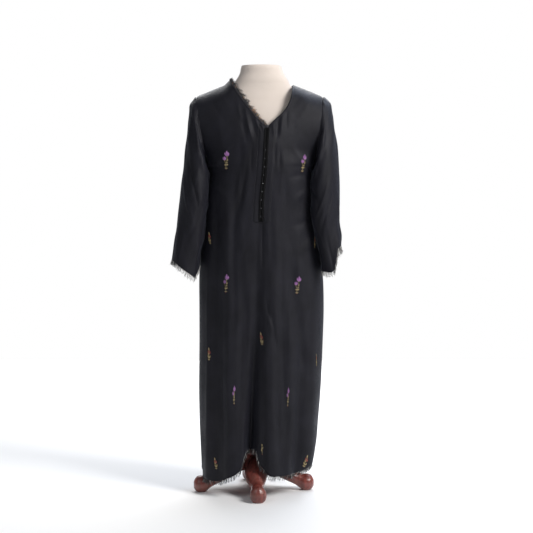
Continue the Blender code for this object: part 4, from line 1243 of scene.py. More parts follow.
def bead_finish():
    """Dark glass beads with fine dust."""
    if "dark_glass_bead" in bpy.data.materials:
        return bpy.data.materials["dark_glass_bead"]
    look = bpy.context.scene.kurta_trim
    made, tree, shader = new_material("dark_glass_bead")
    place = node(tree, "ShaderNodeTexCoord")
    dust = node(tree, "ShaderNodeTexNoise", Scale_in=900.0, Detail_in=3.0)
    tree.links.new(place.outputs["Object"], dust.inputs["Vector"])
    share = mapped(tree, dust.outputs["Fac"], 0.45, 0.75, 0.0, 0.6)
    tree.links.new(blended(tree, share, look.bead, (0.16, 0.16, 0.18)), shader.inputs["Base Color"])
    tree.links.new(mapped(tree, dust.outputs["Fac"], 0.4, 0.8, 0.08, 0.30), shader.inputs["Roughness"])
    shader.inputs["Coat Weight"].default_value = 0.6
    shader.inputs["Coat Roughness"].default_value = 0.05
    bumped(tree, shader, dust.outputs["Fac"], 0.15, 0.0002)
    return made


def cover_finish():
    """Cream jersey stretched over the form: small knit, slightly soiled and yellowed in patches, and a little
    painted shade where the knit is low between its loops.
    """
    if "cream_jersey" in bpy.data.materials:
        return bpy.data.materials["cream_jersey"]
    look = bpy.context.scene.kurta_stand
    made, tree, shader = new_material("cream_jersey")
    where = node(tree, "ShaderNodeUVMap", uv_map="Cloth")
    knit = placed_group(tree, jersey_group(), where.outputs["UV"], Loops=780.0)
    colour = blended(
        tree, knit.outputs["Soil"], look.cover, tuple(c * f for c, f in zip(look.cover, (0.86, 0.80, 0.70)))
    )
    # painted shade: where the knit's height is low, between the loops, the colour stays nearer the darker
    # 0.93 copy
    lined = blended(
        tree,
        maths(tree, "MULTIPLY", knit.outputs["Height"], 0.18),
        tuple(0.93 * c for c in look.cover),
        colour,
    )
    tree.links.new(lined, shader.inputs["Base Color"])
    tree.links.new(mapped(tree, knit.outputs["Soil"], 0.0, 1.0, 0.82, 0.92), shader.inputs["Roughness"])
    shader.inputs["Sheen Weight"].default_value = 0.25
    bumped(tree, shader, knit.outputs["Height"], 0.5, 0.0005)
    return made


def wood_finish():
    """Red-brown stained and varnished wood: grain, pores and rubbed, paler patches."""
    if "red_brown_varnish" in bpy.data.materials:
        return bpy.data.materials["red_brown_varnish"]
    look = bpy.context.scene.kurta_stand
    made, tree, shader = new_material("red_brown_varnish")
    place = node(tree, "ShaderNodeTexCoord")
    grain = placed_group(tree, wood_group(), place.outputs["Object"], Scale=1.0)
    light = tuple(1.5 * c for c in look.wood)
    dark = tuple(0.62 * c for c in look.wood)
    stained = blended(tree, grain.outputs["Grain"], dark, light)
    pored = blended(
        tree,
        maths(tree, "MULTIPLY", grain.outputs["Pores"], 0.5),
        stained,
        tuple(0.30 * c for c in look.wood),
    )
    worn = blended(tree, maths(tree, "MULTIPLY", grain.outputs["Wear"], 0.35), pored, (0.34, 0.16, 0.12))
    tree.links.new(worn, shader.inputs["Base Color"])
    tree.links.new(mapped(tree, grain.outputs["Wear"], 0.0, 1.0, 0.30, 0.52), shader.inputs["Roughness"])
    shader.inputs["Coat Weight"].default_value = 0.35
    shader.inputs["Coat Roughness"].default_value = 0.22
    height = maths(
        tree,
        "SUBTRACT",
        maths(tree, "MULTIPLY", grain.outputs["Grain"], 0.4),
        maths(tree, "MULTIPLY", grain.outputs["Pores"], 0.6),
    )
    bumped(tree, shader, height, 0.35, 0.0006)
    return made


def plain_floor_finish():
    """Plain pale studio floor with a very faint mottling."""
    made, tree, shader = new_material("pale_floor")
    place = node(tree, "ShaderNodeTexCoord")
    mottle = node(tree, "ShaderNodeTexNoise", Scale_in=1.3, Detail_in=2.0)
    tree.links.new(place.outputs["Object"], mottle.inputs["Vector"])
    colour = blended(tree, mottle.outputs["Fac"], (0.90, 0.90, 0.90), (0.93, 0.93, 0.93))
    tree.links.new(colour, shader.inputs["Base Color"])
    shader.inputs["Roughness"].default_value = 0.9
    shader.inputs["Specular IOR Level"].default_value = 0.1
    return made


# ---- what a user would change ------------------------------------------------------------------
class KurtaCloth(bpy.types.PropertyGroup):
    """The cloth of the garment."""

    colour: FloatVectorProperty(
        name="Cloth colour",
        description="Colour of the black crepe",
        subtype="COLOR",
        size=3,
        min=0.0,
        max=1.0,
        default=(0.0058, 0.0056, 0.0088),
    )
    sheen: FloatProperty(
        name="Sheen",
        description="Strength of the soft cool sheen",
        default=0.085,
        min=0.0,
        max=1.0,
        subtype="FACTOR",
    )
    thickness: FloatProperty(
        name="Cloth thickness",
        description="Thickness of the cloth",
        default=0.0008,
        min=0.0003,
        max=0.002,
        unit="LENGTH",
        precision=5,
    )
    threads: FloatProperty(
        name="Weave scale",
        description="Texture scale of the weave, per metre of cloth",
        default=420.0,
        min=50.0,
        max=4000.0,
    )
    purple: FloatVectorProperty(
        name="Purple thread",
        description="Colour of the purple blooms",
        subtype="COLOR",
        size=3,
        default=(0.31, 0.125, 0.345),
    )
    red: FloatVectorProperty(
        name="Red thread",
        description="Colour of the red blooms",
        subtype="COLOR",
        size=3,
        default=(0.30, 0.055, 0.035),
    )
    gold: FloatVectorProperty(
        name="Gold thread",
        description="Colour of the stems and leaves",
        subtype="COLOR",
        size=3,
        default=(0.45, 0.35, 0.16),
    )


class KurtaTrim(bpy.types.PropertyGroup):
    """Lace, fringes, stitching and beads."""

    hem_fringe: FloatProperty(
        name="Hem fringe",
        description="Longest thread of the hem's fringe",
        default=0.0210,
        min=0.002,
        max=0.024,
        unit="LENGTH",
        precision=4,
    )
    cuff_fringe: FloatProperty(
        name="Cuff fringe",
        description="Longest thread of the cuffs' fringe",
        default=0.0225,
        min=0.002,
        max=0.022,
        unit="LENGTH",
        precision=4,
    )
    bead_radius: FloatProperty(
        name="Bead radius",
        description="Radius of the beads along the opening",
        default=0.0022,
        min=0.001,
        max=0.0022,
        unit="LENGTH",
        precision=4,
    )
    lace: FloatVectorProperty(
        name="Trim colour",
        description="Colour of the black threads of the neck trim",
        subtype="COLOR",
        size=3,
        default=(0.022, 0.020, 0.026),
    )
    cream_fleck: FloatVectorProperty(
        name="Cream fleck",
        description="Colour of the pale flecks of the neck trim",
        subtype="COLOR",
        size=3,
        default=(0.72, 0.62, 0.42),
    )
    rust_fleck: FloatVectorProperty(
        name="Rust fleck",
        description="Colour of the rust coloured flecks of the neck trim",
        subtype="COLOR",
        size=3,
        default=(0.60, 0.22, 0.08),
    )
    bead: FloatVectorProperty(
        name="Bead colour",
        description="Colour of the beads",
        subtype="COLOR",
        size=3,
        default=(0.03, 0.03, 0.036),
    )


class KurtaStand(bpy.types.PropertyGroup):
    """The dress form and its stand."""

    cover: FloatVectorProperty(
        name="Cover colour",
        description="Colour of the cream jersey cover",
        subtype="COLOR",
        size=3,
        default=(0.775, 0.680, 0.605),
    )
    wood: FloatVectorProperty(
        name="Wood colour",
        description="Colour of the stained wood",
        subtype="COLOR",
        size=3,
        default=(0.150, 0.036, 0.028),
    )


class KurtaStage(bpy.types.PropertyGroup):
    """The studio."""

    key: FloatProperty(name="Key light", description="Power of the key light", default=190.0, unit="POWER")
    fill: FloatProperty(name="Fill light", description="Power of the fill light", default=22.0, unit="POWER")
    back: FloatProperty(name="Back light", description="Power of the back light", default=24.0, unit="POWER")
    surround: FloatProperty(name="Surround", description="Strength of the pale room", default=0.16)
    wash: FloatProperty(
        name="Floor light", description="Power of the light on the floor behind", default=190.0, unit="POWER"
    )
    lens: FloatProperty(name="Lens", description="Focal length", default=87.94, unit="CAMERA")


# ---- the pieces --------------------------------------------------------------------------------
class KURTA_OT_stage(bpy.types.Operator):
    """Makes the plain pale floor, the soft lights and the camera"""

    bl_idname = "kurta.stage"
    bl_label = "Stage"

    def execute(self, context):
        look = context.scene.kurta_stage
        reach = 3.4
        steps = np.linspace(-reach, reach, 3)
        x, y = np.meshgrid(steps, steps)
        points = np.stack([x, y, np.full_like(x, -0.0004)], axis=-1)
        floor = put_mesh("studio_floor", points, [grid_quads(3, 3).reshape(-1, 4)], plain_floor_finish())
        lights = (
            ("key_light", (2.9, -2.2, 3.1), (0.02, 0.0, 0.70), 1.6, look.key, (1.0, 0.99, 0.98)),
            ("fill_light", (-2.2, -2.4, 3.2), (0.0, 0.0, 1.0), 2.4, look.fill, (0.90, 0.94, 1.0)),
            ("back_light", (1.3, 1.2, 2.9), (0.10, 0.0, 1.15), 1.4, look.back, (0.66, 0.78, 1.0)),
            ("floor_light", (0.0, 3.4, 3.0), (0.0, 2.6, 0.0), 3.4, look.wash, (1.0, 1.0, 1.0)),
        )
        for name, place, aim, size, power, colour in lights:
            data = bpy.data.lights.new(name, "AREA")
            data.energy = power
            data.size = size
            data.color = colour
            lamp = bpy.data.objects.new(name, data)
            away = np.array(place) - np.array(aim)
            turn = math.atan2(away[0], -away[1])
            drop = math.atan2(math.hypot(away[0], away[1]), away[2])
            lamp.location = place
            lamp.rotation_euler = (drop, 0.0, turn)
            context.scene.collection.objects.link(lamp)
        world = bpy.data.worlds.new("pale_room")
        world.use_nodes = True
        tree = world.node_tree
        seen = node(tree, "ShaderNodeLightPath")
        ground = tree.nodes["Background"]
        ground.inputs["Color"].default_value = (0.95, 0.97, 1.0, 1.0)
        ground.inputs["Strength"].default_value = look.surround
        plain = node(tree, "ShaderNodeBackground", Color_in=(1.0, 1.0, 1.0, 1.0), Strength_in=1.0)
        mix = tree.nodes.new("ShaderNodeMixShader")
        tree.links.new(seen.outputs["Is Camera Ray"], mix.inputs[0])
        tree.links.new(ground.outputs[0], mix.inputs[1])
        tree.links.new(plain.outputs[0], mix.inputs[2])
        tree.links.new(mix.outputs[0], tree.nodes["World Output"].inputs["Surface"])
        context.scene.world = world
        data = bpy.data.cameras.new("studio_camera")
        data.lens = look.lens
        data.sensor_width = 36.0
        camera = bpy.data.objects.new("studio_camera", data)
        camera.location = (0.029, -4.2, 0.95)
        camera.rotation_euler = (math.radians(87.0), 0.0, 0.0)
        context.scene.collection.objects.link(camera)
        context.scene.camera = camera
        context.scene.view_settings.view_transform = "Standard"
        return {"FINISHED"}


def make_panel(name, side, turns, rises, slit_between=None):
    """A body panel over its grid of turns and rises, open between two columns above the slit's end."""
    x, z = panel_base(side, turns, rises)
    points = cloth(x, z, side)
    quads = grid_quads(*x.shape, flip=side > 0)
    if slit_between is not None:
        keep_face = np.ones(quads.shape[:2], bool)
        keep_face[:, slit_between] = z[:-1, slit_between] < PLACKET_END_Z
        quads = quads[keep_face]
    made = put_mesh(name, points, [quads.reshape(-1, 4)], crepe_finish(), uv=lengths_uv(points))
    solid_wall(made, bpy.context.scene.kurta_cloth.thickness)
    return made


class KURTA_OT_body(bpy.types.Operator):
    """Makes the front panel, with its V neck and cut opening, and the back panel"""

    bl_idname = "kurta.body"
    bl_label = "Front and back"

    def execute(self, context):
        left, right = turn_at_top(NECK_LEFT[0]), turn_at_top(NECK_RIGHT[0])
        slit = turn_at_top(V_POINT[0])
        half = 0.0004 / SHOULDER_HALF
        steep = turn_at_top(0.0977)
        turns = stretch_between(
            (-1.0, 44), (left, 42), (slit - half, 1), (slit + half, 26), (steep, 16), (right, 36), (1.0, 0)
        )
        front = make_panel("kurta_front", -1, turns, np.linspace(0.0, 1.0, 250), 86)
        keep(front, ("front_panel",))
        turns = stretch_between((-1.0, 40), (left, 50), (right, 36), (1.0, 0))
        back = make_panel("kurta_back", 1, turns, np.linspace(0.0, 1.0, 230))
        keep(back, ("back_panel",))
        return {"FINISHED"}


class KURTA_OT_sleeves(bpy.types.Operator):
    """Makes the two set-in three-quarter sleeves"""

    bl_idname = "kurta.sleeves"
    bl_label = "Sleeves"

    def execute(self, context):
        for name, table, cuff, sign in (
            ("left", LEFT_SLEEVE, LEFT_CUFF, -1),
            ("right", RIGHT_SLEEVE, RIGHT_CUFF, 1),
        ):
            points = sleeve_points(table, cuff, sign)
            quads = grid_quads(*points.shape[:2], around=True).reshape(-1, 4)
            flat = points.reshape(-1, 3)
            middle = np.repeat(points.mean(axis=1), points.shape[1], axis=0)[quads[:, 0]]
            faces = outward_faces(flat, quads, middle)
            made = put_mesh(f"kurta_sleeve_{name}", points, faces, crepe_finish(), uv=lengths_uv(points))
            solid_wall(made, context.scene.kurta_cloth.thickness)
            keep(made, (f"sleeve_{name}",))
        return {"FINISHED"}


def stitch_row(base_x, base_z, lift, pitch, length, radius, side=-1):
    """Short raised stitches along a line on the cloth: each is a low arch of a thin tube."""
    line = cloth(base_x, base_z, side, lift)
    _, _, whole = along_line(line, np.array([0.0]))
    count = int(whole / pitch)
    t = np.linspace(0.0, 1.0, 5)
    share = (np.arange(count)[:, None] * pitch + 0.5 * pitch + (t[None] - 0.5) * length) / whole
    found, _, _ = along_line(line, share)
    outward = np.array([0.0, float(side), 0.0])
    centres = found + outward * (radius * 1.2 * np.sin(math.pi * t)[None, :, None])
    radii = np.broadcast_to(radius * (0.5 + 0.5 * np.sin(math.pi * t)), centres.shape[:2])
    points, faces = tubes(centres, radii)
    return points, faces, spread_tints(np.zeros(count), centres)


def looped_cord(base_x, base_z, lift, pitch, reach, radius, sideways=1.0, side=-1):
    """A row of small loops: a thin tube whose path swings out by |sin| of its length over the pitch."""
    line = cloth(base_x, base_z, side, lift)
    _, _, whole = along_line(line, np.array([0.0]))
    count = int(whole / pitch)
    share = np.linspace(0.0, 1.0, count * 10 + 1)
    found, way, _ = along_line(line, share)
    out = np.array([0.0, float(side), 0.0])
    across = unit(np.cross(way, out)) * sideways
    swing = np.abs(np.sin(math.pi * share * count)) ** 0.8
    rise = 0.5 + 0.5 * np.cos(2 * math.pi * share * count)
    centres = (found + across * (reach * swing)[:, None] + out * (radius * (0.6 + 1.4 * rise))[:, None])[None]
    points, faces = tubes(centres, np.full(centres.shape[:2], radius), sides=5)
    return points, faces, spread_tints(np.zeros(1), centres, 5)


class KURTA_OT_opening(bpy.types.Operator):
    """Makes the bands beside the front opening, its looped strip, its stitching and its beads"""

    bl_idname = "kurta.opening"
    bl_label = "Front opening"

    def execute(self, context):
        low = PLACKET_END_Z - PLACKET_HEEL
        rise = np.linspace(0.0, 1.0, 110)[:, None]
        crepe = crepe_finish("black_crepe_band", 0.90)
        thread = thread_finish("black_sewing_thread", (0.012, 0.012, 0.014), (0.2, 0.2, 0.2))
        for name, sign in (("left", -1), ("right", 1)):
            wide = np.sort(np.linspace(0.0002, PLACKET_BAND, 16) * sign)[None, :]
            top_z = neck_edge(V_POINT[0] + wide, -1) - BAND_DROP
            z = low + (top_z - low) * rise
            # the ends of the bands are rounded off below, as a stitched U
            rounding = 0.010 * (np.abs(wide) / PLACKET_BAND) ** 4 * (1 - rise) ** 6
            z = z + rounding
            raised = (LIFT + 0.0006) * smooth_step((PLACKET_BAND - np.abs(wide)) / 0.009)
            points = cloth(placket_x(z) + wide, z, -1, raised - 0.0002)
            made = put_mesh(
                f"kurta_band_{name}", points, [
                    grid_quads(*z.shape).reshape(-1, 4)
                ], crepe, uv=lengths_uv(points)
            )
            solid_wall(made, 0.0009)
            keep(made, (f"placket_{name}",))
        # the narrow strip that covers the opening: a black tape, coloured near black and darker than the
        # cloth, as painted shade in the opening
        z = np.linspace(low + 0.004, V_POINT[1] - 0.004, 130)[:, None]
        wide = np.linspace(-0.0090, 0.0056, 8)[None, :]
        points = cloth(placket_x(z) + wide, z + 0 * wide, -1, LIFT + 0.0011)
        strip = put_mesh(
            "kurta_opening_strip",
            points,
            [grid_quads(130, 8).reshape(-1, 4)],
            thread_finish(
                "black_tape", (0.0010, 0.0010, 0.0013), (0.01, 0.01, 0.01), sheen=0.0, roughness=0.9
            ),
            uv=lengths_uv(points),
            tints=np.zeros(130 * 8),
        )
        solid_wall(strip, 0.0007)
        keep(strip)
        z = np.linspace(low + 0.006, V_POINT[1] - 0.006, 400)
        mid = placket_x(z)
        parts = [
            looped_cord(mid + 0.0053, z, LIFT + 0.0012, 0.0075, 0.0046, 0.0009, -1.0),
            looped_cord(mid - 0.0087, z, LIFT + 0.0012, 0.0078, 0.0036, 0.0008, 1.0),
        ]
        cord_look = thread_finish("black_loop_cord", (0.005, 0.005, 0.006), (0.2, 0.2, 0.2), 0.08, 0.5)
        keep(put_joined("kurta_opening_loops", cord_look, *parts))
        # topstitching: down both bands, and across their rounded ends
        parts = []
        for sign in (-1, 1):
            for inset in (0.0016, 0.0215):
                off = sign * (PLACKET_BAND - inset)
                top = float(neck_edge(V_POINT[0] + off, -1)) - BAND_DROP - 0.002
                z = np.linspace(low + 0.010, top, 200)
                parts.append(stitch_row(placket_x(z) + off, z, LIFT + 0.0003, 0.0032, 0.0024, 0.00022))
        turn = np.linspace(math.pi, 2 * math.pi, 90)
        for level in (0.0, 0.0065):
            x = (PLACKET_BAND - 0.0018) * np.cos(turn)
            z = low + 0.0105 + level + 0.0085 * np.sin(turn)
            parts.append(stitch_row(placket_x(z) + x, z, LIFT + 0.0003, 0.0032, 0.0024, 0.00022))
        keep(put_joined("kurta_opening_stitching", thread, *parts))
        self.make_beads(context)
        return {"FINISHED"}

    def make_beads(self, context):
        """Round beads with a small hole: a circle of tube section turned once round a short axis."""
        radius = context.scene.kurta_trim.bead_radius
        turn = np.linspace(0, 2 * math.pi, 24, endpoint=False)
        # section of a bead, from the hole's one rim over the outside to the other and back inside
        swing = np.linspace(-1.25, 1.25, 13)
        section_r = np.concatenate([radius * np.cos(swing), [radius * 0.22] * 3])
        section_h = np.concatenate([radius * np.sin(swing), radius * np.array([0.80, 0.0, -0.80])])
        r, a = np.meshgrid(section_r, turn)
        h = np.meshgrid(section_h, turn)[0]
        shape = np.stack([h, r * np.cos(a), r * np.sin(a)], axis=-1)
        faces = grid_quads(24, 16, around=True).reshape(-1, 4)
        loop = grid_quads(2, 16, around=True).reshape(-1, 4) % 16
        last = np.where(grid_quads(2, 16, around=True).reshape(-1, 4) < 16, loop + 23 * 16, loop)
        faces = np.concatenate([faces, last])
        heights = np.linspace(BEAD_LOW_Z, BEAD_HIGH_Z, BEAD_COUNT)
        for number, z in enumerate(heights, start=1):
            x = placket_x(z) - radius * 1.6
            place = cloth(x, z, -1, LIFT + 0.0018 + radius)
            lean = 0.5 * math.sin(2.3 * number)
            turned = shape @ np.array(
                [[math.cos(lean), 0, math.sin(lean)], [0, 1, 0], [-math.sin(lean), 0, math.cos(lean)]]
            )
            made = put_mesh(f"kurta_bead_{number}", turned + place, [faces], bead_finish())
            flat = turned.reshape(-1, 3)
            a0, b0, d0 = flat[faces[:, 0]], flat[faces[:, 1]], flat[faces[:, 3]]
            if (np.cross(b0 - a0, d0 - a0) * a0).sum() < 0:
                made.data.flip_normals()
            keep(made, (f"bead_{number}",))


class KURTA_OT_neck(bpy.types.Operator):
    """Makes the frayed, looped trim of the left neck edge and the bindings of the other edges"""

    bl_idname = "kurta.neck"
    bl_label = "Neck trims"

    def edge(self, side, start, end, steps):
        """Base x, base z and the in-plane direction out of the cloth, along the neckline."""
        dense = np.linspace(start, end, 2000)
        pace = np.hypot(np.diff(dense), np.diff(neck_edge(dense, side)))
        gone = np.concatenate([[0.0], np.cumsum(pace)])
        x = np.interp(np.linspace(0.0, gone[-1], steps), gone, dense)
        z = neck_edge(x, side)
        run = unit(np.gradient(np.stack([x, z], axis=1), axis=0))
        out = np.stack([-run[:, 1], run[:, 0]], axis=1)
        return x, z, out * np.sign(out[:, 1])[:, None]

    def execute(self, context):
        cloth_look = crepe_finish("black_crepe_binding", 1.1)
        # bindings: a flat folded strip, crowned across its width, with its fold on the very edge
        for name, side, start, end, steps in (
            ("right", -1, V_POINT[0] + 0.0015, NECK_RIGHT[0] - 0.0015, 120),
            ("back", 1, NECK_LEFT[0] + 0.0015, NECK_RIGHT[0] - 0.0015, 170),
        ):
            x, z, out = self.edge(side, start, end, steps)
            across = np.linspace(-0.0050, 0.0006, 9)[:, None]
            crown = 0.0007 * (1 - ((across + 0.0022) / 0.0028) ** 2)
            base_x, base_z = x + out[:, 0] * across, z + out[:, 1] * across
            points = cloth(base_x, base_z, side, 0.0007 + crown)
            quads = grid_quads(9, steps, flip=side > 0).reshape(-1, 4)
            made = put_mesh(f"kurta_neck_binding_{name}", points, [quads], cloth_look, uv=lengths_uv(points))
            solid_wall(made, 0.0007)
            keep(made, (f"neck_binding_{name}",))
        self.make_lace(context)
        return {"FINISHED"}

    def make_lace(self, context):
        """The left trim: a scalloped tape, twisted cord, small loops and uneven frayed tufts."""
        rng = np.random.default_rng(71)
        steps = 380
        x, z, out = self.edge(-1, NECK_LEFT[0] + 0.001, V_POINT[0] - 0.001, steps)
        share = np.linspace(0.0, 1.0, steps)
        whole = float(np.hypot(np.diff(x), np.diff(z)).sum())
        scallop = 0.0016 * np.abs(np.sin(math.pi * share * whole / 0.0062)) ** 0.7
        across = np.linspace(0.0, 1.0, 6)[:, None]
        reach = -0.0052 + (0.0052 + 0.0012 + scallop[None]) * across
        points = cloth(
            x + out[:, 0] * reach, z + out[:, 1] * reach, -1, 0.0012 + 0.0004 * np.sin(math.pi * across)
        )
        trim = flecked_finish("frayed_neck_trim")
        tape = put_mesh(
            "kurta_neck_tape",
            points,
            [grid_quads(6, steps).reshape(-1, 4)],
            trim,
            uv=lengths_uv(points),
            tints=np.zeros(6 * steps),
        )
        solid_wall(tape, 0.0008)
        keep(tape)
        line = cloth(x, z, -1, 0.0016)
        inner = cloth(x + out[:, 0] * 0.004, z + out[:, 1] * 0.004, -1, 0.0016)
        count = 760
        place = np.sort(rng.uniform(0.0, 1.0, count))
        roots, way, _ = along_line(line, place)
        ahead, _, _ = along_line(inner, place)
        into = unit(ahead - roots)
        face = unit(np.cross(way, into))
        clump = np.floor(place * 44 + 0.3 * np.sin(place * 60)).astype(int)
        tall = rng.uniform(0.22, 1.0, 50)[clump] ** 1.4
        reach = (0.0040 + 0.0110 * tall) * rng.uniform(0.45, 1.0, count)
        reach = reach * (1 - 0.8 * smooth_step((place - 0.86) / 0.12))
        slant = rng.normal(0.0, 0.45, 50)[clump] + rng.normal(0.0, 0.30, count)
        t = np.linspace(0.0, 1.0, 6)[None, :, None]
        wave = rng.normal(0.0, 0.22, (2, count, 1, 1))
        size = reach[:, None, None]
        centres = (
            roots[:, None] - 0.0025 * into[:, None] * (1 - t) + into[:, None] * size * t
            + way[:, None] * size * (slant[:, None, None] * t + wave[0] * np.sin(4.5 * t))
            + face[:, None] * size * (wave[1] * np.sin(3.6 * t))
        )
        radii = rng.uniform(0.00034, 0.00062, count)[:, None] * (1 - 0.45 * t[..., 0])
        # flecks are rare above and frequent in the lowest third
        chance = 0.035 + 0.20 * smooth_step((place - 0.52) / 0.25) * smooth_step((0.97 - place) / 0.1)
        bright = rng.random(count) < chance
        tint = np.where(bright, rng.uniform(0.55, 0.95, count), rng.uniform(0.0, 0.3, count))
        tuft = (*tubes(centres, radii), spread_tints(tint, centres))
        # loops: half rings that start and end on the edge
        many = 150
        place = (np.arange(many) + rng.uniform(0.2, 0.8, many)) / many * 0.985
        roots, way, _ = along_line(line, place)
        ahead, _, _ = along_line(inner, place)
        into = unit(ahead - roots)
        u = np.linspace(0.0, math.pi, 9)[None, :, None]
        wide = rng.uniform(0.0010, 0.0024, many)[:, None, None]
        tall = rng.uniform(0.0020, 0.0056, many)[:, None, None]
        tip = rng.normal(0.0, 0.0010, many)[:, None, None]
        centres = (
            roots[:, None] + way[:, None] * (-wide * np.cos(u) + tip * np.sin(u))
            + into[:, None] * (tall * np.sin(u) ** 0.8 - 0.0010)
        )
        tint = np.where(rng.random(many) < 0.06 + 0.14 * (place > 0.6), 0.6, 0.08)
        loops = (*tubes(centres, np.full(centres.shape[:2], 0.00055)), spread_tints(tint, centres))
        twist = np.linspace(0.0, 1.0, 900)
        base, way, length = along_line(line, twist)
        ahead, _, _ = along_line(inner, twist)
        into = unit(ahead - base)
        face = unit(np.cross(way, into))
        parts = [tuft, loops]
        for start in (0.0, math.pi):
            angle = (2 * math.pi * twist * length / 0.0046 + start)[:, None]
            centres = (base + 0.0006 * (into * np.cos(angle) + face * np.sin(angle)) - 0.0012 * into)[None]
            cord = tubes(centres, np.full(centres.shape[:2], 0.00055), sides=4)
            parts.append((*cord, spread_tints(np.array([0.1]), centres, 4)))
        keep(put_joined("kurta_neck_fraying", trim, *parts), ("neck_lace_left",))


class KURTA_OT_fringes(bpy.types.Operator):
    """Makes the frayed fringes of the hems and the cuffs"""

    bl_idname = "kurta.fringes"
    bl_label = "Fringes"

    def execute(self, context):
        look = context.scene.kurta_trim
        hem = thread_finish("hem_fringe_thread", (0.012, 0.012, 0.014), (0.70, 0.68, 0.65), roughness=0.7)
        cuff = thread_finish("cuff_fringe_thread", (0.016, 0.016, 0.019), (0.74, 0.72, 0.69), roughness=0.7)
        for name, side, seed in (("front", -1, 5), ("back", 1, 6)):
            turns = np.linspace(-0.995, 0.995, 320)
            x, z = panel_base(side, turns, np.array([0.0, 0.006]))
            rows = cloth(x, z, side, -0.0004)
            plain = hanging_threads(rows[0], rows[1], 900, look.hem_fringe, 0.0070, 0.00038, 0.15, seed)
            # the corner on the right shows more pale threads
            right = slice(245, 320)
            corner = hanging_threads(
                rows[0][right], rows[1][right], 150, look.hem_fringe, 0.0065, 0.00028, 0.30, seed + 20
            )
            made = put_joined(f"kurta_hem_fringe_{name}", hem, plain, corner)
            keep(made, (f"hem_fringe_{name}",))
        for name, table, sleeve_cuff, sign, seed in (
            ("left", LEFT_SLEEVE, LEFT_CUFF, -1, 7),
            ("right", RIGHT_SLEEVE, RIGHT_CUFF, 1, 8),
        ):
            rows = sleeve_points(table, sleeve_cuff, sign)[-2:]
            threads = hanging_threads(
                rows[1], rows[0], 360, look.cuff_fringe, 0.0072, 0.00044, 0.56, seed, closed=True
            )
            made = put_joined(f"kurta_cuff_fringe_{name}", cuff, threads)
            keep(made, (f"cuff_fringe_{name}",))
        return {"FINISHED"}


# ---- embroidery --------------------------------------------------------------------------------
# patches of a sprig, in millimetres about its middle: colour, start x, start y, end x, end y,
# half width, sideways bow, where its widest place is (0 to 1), tint: the patch's painted light,
# from the thread's painted shaded copy (0) to its painted lit copy (1)
PURPLE_SPRIG = (
    ("gold", -1.0, -27.0, 1.2, -8.0, 0.75, 0.8, 0.5, 0.55),
    ("gold", 1.2, -8.0, 4.6, 11.0, 0.70, -1.0, 0.5, 0.60),
    ("gold", 0.6, -13.0, -4.2, -1.0, 0.65, 1.0, 0.5, 0.50),
    ("gold", -1.0, -26.0, -5.8, -24.6, 1.00, 0.4, 0.5, 0.75),
    ("gold", -1.0, -27.0, 3.8, -24.0, 1.10, -0.6, 0.5, 0.70),
    ("red", -1.0, -27.4, -1.2, -30.0, 1.25, 0.0, 0.5, 0.50),
    ("gold", 0.2, -16.5, 6.4, -13.6, 1.60, -0.5, 0.5, 0.85),
    ("gold", 1.0, -9.0, 5.4, -6.6, 1.40, -0.5, 0.5, 0.80),
    ("gold", -0.1, -16.0, -6.0, -14.2, 1.60, 0.5, 0.5, 0.80),
    ("gold", 2.2, -3.0, 6.6, 1.8, 1.10, -0.8, 0.5, 0.65),
    ("purple", 4.6, 11.0, -0.6, 24.0, 2.50, 2.2, 0.45, 0.45),
    ("purple", 4.6, 11.0, 10.4, 23.0, 2.50, -2.2, 0.45, 0.60),
    ("purple", 4.6, 10.6, 5.2, 28.5, 2.70, 0.0, 0.50, 0.90),
    ("purple", 4.4, 11.6, 3.2, 20.0, 1.00, 0.6, 0.50, 0.20),
    ("purple", -4.2, -1.0, -8.2, 9.6, 2.00, 1.6, 0.45, 0.40),
    ("purple", -4.2, -1.0, 0.0, 9.4, 2.00, -1.6, 0.45, 0.65),
    ("purple", -4.2, -1.2, -4.0, 12.0, 1.80, 0.0, 0.50, 0.85),
    ("gold", 4.6, 10.0, 2.6, 12.6, 0.70, 0.3, 0.5, 0.90),
    ("gold", 4.6, 10.0, 6.6, 12.8, 0.70, -0.3, 0.5, 0.90),
    ("gold", -4.2, -2.0, -6.0, 0.6, 0.60, 0.3, 0.5, 0.90),
    ("gold", -4.2, -2.0, -2.4, 0.6, 0.60, -0.3, 0.5, 0.90),
)
RED_SPRIG = (
    ("gold", 0.6, -20.0, 0.2, 12.0, 0.70, 0.8, 0.5, 0.55),
    ("gold", 0.2, 9.0, -1.2, 19.0, 1.70, 0.5, 0.5, 0.85),
    ("red", 0.2, 2.0, -4.8, 9.6, 1.80, 1.2, 0.45, 0.50),
    ("red", 0.2, -1.0, 5.4, 6.4, 1.90, -1.2, 0.45, 0.75),
    ("red", 0.2, 3.0, 1.6, 11.0, 1.30, 0.0, 0.50, 0.85),
    ("gold", 0.2, -3.0, -4.8, 2.0, 1.20, 0.7, 0.5, 0.75),
    ("gold", 0.4, -14.0, 5.4, -5.0, 1.60, -1.2, 0.5, 0.85),
    ("gold", 0.4, -13.0, -5.0, -4.0, 1.60, 1.1, 0.5, 0.70),
    ("gold", 0.3, -19.5, -4.0, -14.6, 1.10, 0.6, 0.5, 0.60),
    ("gold", 0.3, -19.5, 4.4, -16.0, 1.10, -0.6, 0.5, 0.65),
)
GOLD_SPRIG = (
    ("gold", 0.0, -15.0, 0.4, 13.0, 0.85, 0.9, 0.5, 0.75),
    ("gold", 0.2, -6.0, -3.2, 0.6, 1.00, 0.8, 0.5, 0.60),
    ("gold", 0.3, 1.0, 3.4, 7.4, 1.00, -0.8, 0.5, 0.65),
    ("gold", 0.4, 11.0, 0.6, 17.0, 1.30, 0.0, 0.5, 0.90),
    ("red", 0.0, -15.6, -0.1, -17.8, 1.00, 0.0, 0.5, 0.50),
)


